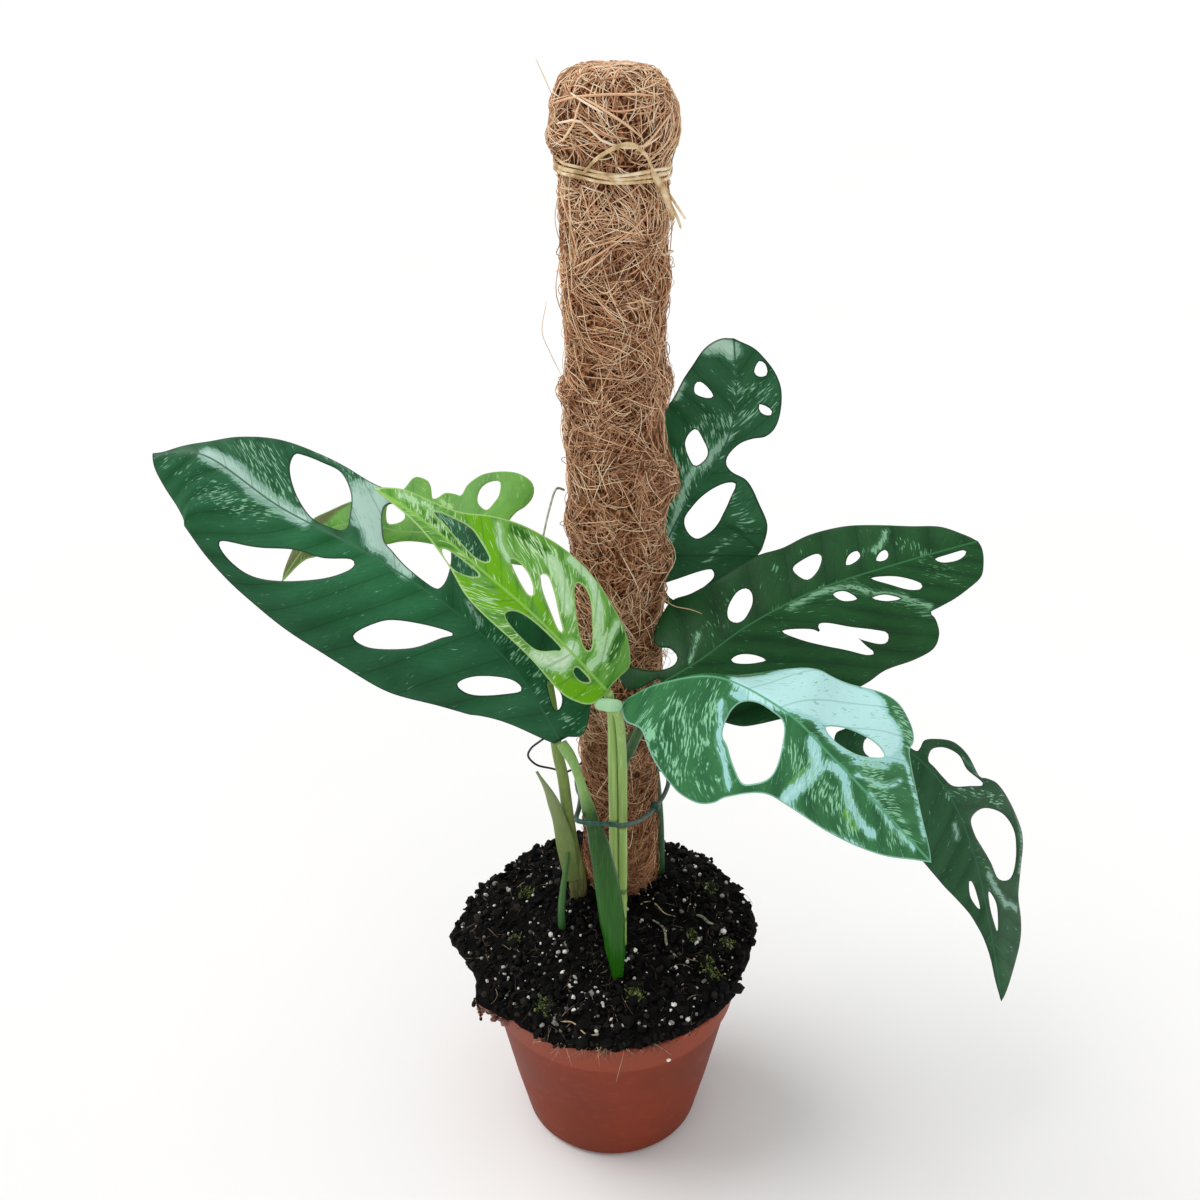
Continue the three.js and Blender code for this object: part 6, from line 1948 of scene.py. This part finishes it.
@dataclass
class Stalks:
    """The climbing stem, the petioles with their knees and sheaths, and the old stubs."""

    def rods(self) -> dict[str, tuple[Rod, str, str, Finish]]:
        """Each piece's rod, the node it stands for, its slot and its finish.

        Returns:
            Each rod with the node and slot that it stands for, and its finish.
        """
        dark = StalkSkin(
            "petiole A, sheathed and glossy green", foot="#1d5607", middle="#17420f", top="#86ab62",
            stripe="#3f8526", stops=(0.5, 0.8, 0.91), stripe_amount=0.2, roughness=0.3,
        )
        pale = StalkSkin(
            "petioles B and F, pale green", foot="#8ea652", middle="#93b25c", top="#92b563", stripe="#bfd28f",
            stripe_amount=0.5, rings=(0.385, 0.47, 0.66), scar="#4d6a30",
        )
        olive = StalkSkin(
            "petiole C, olive over peat brown", foot="#5f5638", middle="#7d8e4c", top="#7f9f4c",
            stripe="#a3b078", stops=(0.27, 0.45, 0.8), stripe_amount=0.25,
        )
        shaded = StalkSkin(
            "petiole D, dark green", foot="#1c3418", middle="#2d5430", top="#3f6c42", stripe="#4d7a47",
            stripe_amount=0.35,
        )
        stem = StalkSkin(
            "climbing stem, grey-green", foot="#3a4826", middle="#4a6634", top="#567a42", stripe="#6f9052",
            roughness=0.45,
        )
        inner = StalkSkin(
            "petiole E, dark grey-green", foot="#33502f", middle="#3d5f3a", top="#45693f", stripe="#57804f",
            stripe_amount=0.35,
        )
        knee = StalkSkin(
            "knee of petiole F, pale blue-green", foot="#a3d2a6", middle="#abdaac", top="#9ccd9d",
            stripe="#bce2b6", roughness=0.4,
        )
        husk = StalkSkin(
            "sheath tip, grey-green", foot="#74834a", middle="#7f9156", top="#8a9a6c", stripe="#9cad78",
            stripe_amount=0.2, roughness=0.45,
        )
        stub = StalkSkin(
            "old stalk, dark green", foot="#1c431f", middle="#2a5c30", top="#4a7338", stripe="#457c43",
        )
        return {
            "petiole_a": (Rod(
                [(3.5, -27, 60), (2.2, -30, 115), (-1.2, -30, 154), (-4.8, -29, 180), (-8.3, -28, 195),
                 (-11.3, -27, 208), (-15, -25, 220), stalk_end("leaf_a_large_left")],
                [2.2, 2.2, 2.3, 2.8, 4.4, 5.4, 5.1, 4.3, 2.8, 1.8, 2.0],
                [2.2, 2.2, 2.3, 2.4, 2.7, 2.8, 2.7, 2.4, 2.0, 1.7, 1.8],
                sides=36, step=1.2, furrow=(math.radians(285), 0.2, 0.75), nodes=((0.975, 0.3, 4),),
            ), "petiole_a_sheathed", "sheath_green", dark),
            "petiole_b_stalk": (Rod(
                [(1, -15, 60), (0.9, -16.5, 115), (0.7, -16, 169), (0.3, -16, 215), (0, -16.5, 235),
                 (-0.8, -18, 243), stalk_end("leaf_b_young_front")],
                [1.85], [1.75], nodes=((0.36, 0.18, 1.2), (0.52, 0.22, 1.5), (0.75, 0.15, 1.2)),
            ), "petiole_b", "pale_petiole", pale),
            "petiole_c": (Rod(
                [(-14, 14, 60), (-15.3, 13, 113), (-15.8, 11, 136), (-18.4, 8, 161), (-20.4, 2.6, 192),
                 (-22.5, 2.4, 207), (-24.7, 8.6, 227), (-27.6, 14, 243), (-29.4, 18.5, 254.5),
                 (-29.4, 23.6, 266.5), (-30, 26.6, 274.4), stalk_end("leaf_c_behind_left")],
                [2.4, 2.9, 3.9, 2.7, 2.4, 2.2, 2, 1.5], [2.3, 2.4, 2.4, 2.2, 2, 1.9, 1.9, 1.5], sides=28,
                furrow=(math.radians(270), 0.15, 0.5), nodes=((0.29, 0.3, 2.0),),
            ), "petiole_c_left", "green_stem", olive),
            "petiole_c_sheath": (Rod(
                [(-18.2, 10, 131), (-20.6, 5, 158), (-25.4, 0, 184.4), (-30.9, -2, 199.2)],
                [3.6, 4.2, 2.8, 0.6], [1.6, 1.4, 1.2, 0.5], sides=24, ribbing=0.06,
            ), "petiole_c_left", "green_stem", husk),
            "petiole_c_old": (Rod(
                [(-21, -3, 60), (-22.6, -4, 115), (-21.8, 0, 133), (-18.6, 7, 156)], [2.1, 2.1, 1.6, 0.8],
                ribbing=0.1,
            ), "petiole_c_left", "green_stem", stub),
            "petiole_d": (Rod(
                [(22.9, 30, 60), (22.9, 30, 114), (22.2, 33.5, 140), (20.6, 36.5, 160), (18.6, 40, 177),
                 (16, 45, 206), (15, 49, 232), (15.6, 51, 249), stalk_end("leaf_d_behind_pole")],
                [2.1, 2.1, 2.1, 2, 1.9],
            ), "petiole_d_behind_pole", "sheath_green", shaded),
            "climbing_stem": (Rod(
                [(3.4, 1, 60), (3.5, 1, 118), (3.4, 0.5, 165), (3.3, 0, 212)], [3.1], rounded=3,
                nodes=((0.45, 0.5, 2), (0.62, 0.5, 2), (0.8, 0.5, 2), (0.93, 0.5, 2)),
            ), "vine_stem", "green_stem", stem),
            "petiole_e": (Rod(
                [(3.3, 0, 201), (8, -5, 214), (12.5, -8, 229), (15.5, -7.5, 240),
                 stalk_end("leaf_e_large_right")],
                [2.4, 2, 1.9], reference=(0, 1, 0),
            ), "vine_stem", "green_stem", inner),
            "petiole_g": (Rod(
                [(3.3, 0, 208), (10, 0, 216.5), (20, -1, 222.5), (35, -2.5, 230), (54, -3, 235),
                 (74, -0.5, 233), (87, 1.5, 226.5), stalk_end("leaf_g_drooping_right")],
                [2.4, 1.9, 1.8, 1.8], reference=(0, 0, 1),
            ), "vine_stem", "green_stem", stem),
            "petiole_f": (Rod(
                [(4.8, -15, 60), (4.7, -16.5, 115), (4.5, -16, 169), (4, -17, 215), (2.8, -20, 236),
                 (0.6, -23.2, 245)],
                [1.85], [1.75], nodes=((0.44, 0.2, 1.2), (0.66, 0.2, 1.5)),
            ), "petiole_f_knee", "pale_petiole", pale),
            "knee_f": (Rod(
                [(-6.6, -24.8, 246.2), (-3.6, -24.9, 246.1), (-0.5, -24.4, 245.5), (2, -23.6, 245),
                 (4, -22.6, 244.8)],
                [1.6, 2.3, 2.5, 2.3, 1.5], reference=(0, 0, 1), step=0.4, ribbing=0.05, rounded=1.4,
            ), "petiole_f_knee", "pale_petiole", knee),
        }

    def build(self) -> list[bpy.types.Object]:
        """Makes every stalk."""
        return [
            stand_for(rod.build(name, finish), node)
            for name, (rod, node, slot, finish) in self.rods().items()
        ]


@dataclass
class Ties:
    """The green band with its knot, the wire pin in the pole and the paper twist."""

    knot_centre: Point = (18.4, 5.5, 175.6)
    knot_radius: Point = (2.2, 3, 2.4)
    green: Finish = Mottled(
        "garden tie, dark green vinyl", colours=("#1b3a31", "#254b3e", "#33604f"), size=2.5, roughness=0.5,
        ior=1.52, level=0.3, relief=0.1,
    )
    steel: Finish = Mottled(
        "wire, dark coated steel", colours=("#151716", "#262a28"), size=4, roughness=0.45, ior=1.5,
        relief=0.02,
    )
    paper: Finish = Mottled(
        "paper twist, faded green", colours=("#828a74", "#a1a692", "#babda9"), size=2, roughness=0.85,
        relief=0.1,
    )

    def knot(self) -> bpy.types.Object:
        """The knot of the band: a ball grooved by its turns."""
        deselect()
        bpy.ops.mesh.primitive_uv_sphere_add(segments=40, ring_count=24, radius=1)
        knot = bpy.context.object
        knot.name = knot.data.name = "tie_knot"
        where = places(knot) * MM
        turns = 1 + 0.09 * np.cos(where[:, 1] * 9 + where[:, 2] * 5) + 0.04 * np.cos(where[:, 0] * 11)
        move_to(knot, where * turns[:, None] * np.array(self.knot_radius) + np.array(self.knot_centre))
        bpy.ops.object.shade_smooth()
        knot.data.materials.append(self.green.material())
        return knot

    def build(self) -> list[bpy.types.Object]:
        """Makes the ties.

        Returns:
            The band, its knot, the wire pin and the twist tie.
        """
        band = Rod(
            [(-14.2, -26, 193.6), (-12.4, -32, 196.5), (-6.5, -34.4, 197.6), (-0.5, -34, 196.6),
             (5.2, -27, 191), (11.7, -12, 182), (18, 4, 176), (23, 20, 171.5), (25.4, 34, 169),
             (23, 43.5, 168), (13, 49, 168), (0, 47.6, 169), (-10, 43, 170), (-15.4, 33, 172), (-15, 18, 176),
             (-13.4, 4, 182), (-13.6, -12, 188)],
            [1.0], reference=(0, 0, 1), sides=14, step=1.2, closed=True, ribbing=0.06,
        )
        pin = Rod(
            [(-13.3, 22, 187), (-16, 14, 190), (-19.8, 7.5, 192.5), (-25, 5, 196), (-30.8, -1, 202),
             (-33.9, -5, 209), (-32.6, -6, 213.5), (-29.6, -6.5, 216.7), (-25.4, -6, 219.5),
             (-20.4, -4, 219.6), (-17, 4, 217.5), (-14.4, 15, 214.5), (-13.6, 22, 212.5)],
            [0.45], reference=(0, 0, 1), sides=10, step=0.8, ribbing=0,
        )
        twist = Rod(
            [(-17.8, 26, 309), (-20.8, 20.4, 311.4), (-23.2, 14, 306.1), (-25.2, 9, 299), (-26.4, 7, 293.4)],
            [0.55], [0.4], reference=(0, 1, 0), sides=10, step=0.6, ribbing=0.04, rounded=0.4,
        )
        return [
            stand_for(band.build("tie_band_cord", self.green), "tie_band"),
            stand_for(self.knot(), "tie_band"),
            stand_for(pin.build("wire_pin_rod", self.steel), "wire_pin"),
            stand_for(twist.build("twist_tie_strip", self.paper), "twist_tie"),
        ]


@dataclass
class Studio:
    """A white floor under an even white sky, a wide soft sun from the upper left and the camera."""

    floor_size: float = 60.0
    sky: float = 0.72
    sun: float = 1.75
    sun_from: Point = (-0.62, 0.18, 1.0)
    sun_width: float = 42
    camera_height: float = 0.484
    camera_back: float = 0.406
    pitch: float = 36.9
    lens: float = 36
    shift: Point = (-0.01, 0.1733)
    floor_finish: Finish = Mottled(
        "paper backdrop, white", colours=("#ededec", "#f1f0ef"), size=400, roughness=0.95, relief=0.0,
        level=0.0,
    )

    def build(self) -> None:
        """Sets the scene up."""
        deselect()
        bpy.ops.mesh.primitive_plane_add(size=self.floor_size, location=(0, 0, -0.0005))
        floor = bpy.context.object
        floor.name = "studio_floor"
        floor.data.materials.append(self.floor_finish.material())
        world = bpy.data.worlds.new("studio white")
        bpy.context.scene.world = world
        world.use_nodes = True
        background = world.node_tree.nodes["Background"]
        background.inputs["Color"].default_value = linear("#ffffff")
        background.inputs["Strength"].default_value = self.sky
        bpy.ops.object.light_add(type="SUN", location=self.sun_from)
        sun = bpy.context.object
        sun.name = "studio_sun"
        sun.data.energy = self.sun
        sun.data.angle = math.radians(self.sun_width)
        sun.rotation_euler = (-Vector(self.sun_from)).to_track_quat("-Z", "Y").to_euler()
        bpy.ops.object.camera_add(
            location=(0, -self.camera_back, self.camera_height),
            rotation=(math.radians(90 - self.pitch), 0, 0),
        )
        camera = bpy.context.object
        camera.data.lens = self.lens
        camera.data.sensor_width = 36
        camera.data.shift_x, camera.data.shift_y = self.shift
        camera.data.dof.use_dof = False
        bpy.context.scene.camera = camera
        bpy.context.scene.view_settings.view_transform = "Standard"


def main() -> None:
    """Builds the plant from the pot up."""
    logging.basicConfig(level=logging.INFO, format="%(message)s")
    pole = CoirPole()
    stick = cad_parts["pole_stick"]
    stick.data.materials.clear()
    stick.data.materials.append(Mottled(
        "stick, pale wood", colours=("#8f6f48", "#b89468", "#cdb088"), size=1.2, stretch=14, relief=0.1,
    ).material())
    parts = (NurseryPot(), Soil(), pole, RaffiaBinding(pole), Stalks(), Ties())
    built = [piece for part in parts for piece in part.build()]
    built += [leaf.build() for leaf in LEAVES.values()]
    for piece in built:
        LOG.info("%s: %d faces", piece.name, len(piece.data.polygons))
    Studio().build()


if __name__ == "__main__":
    main()
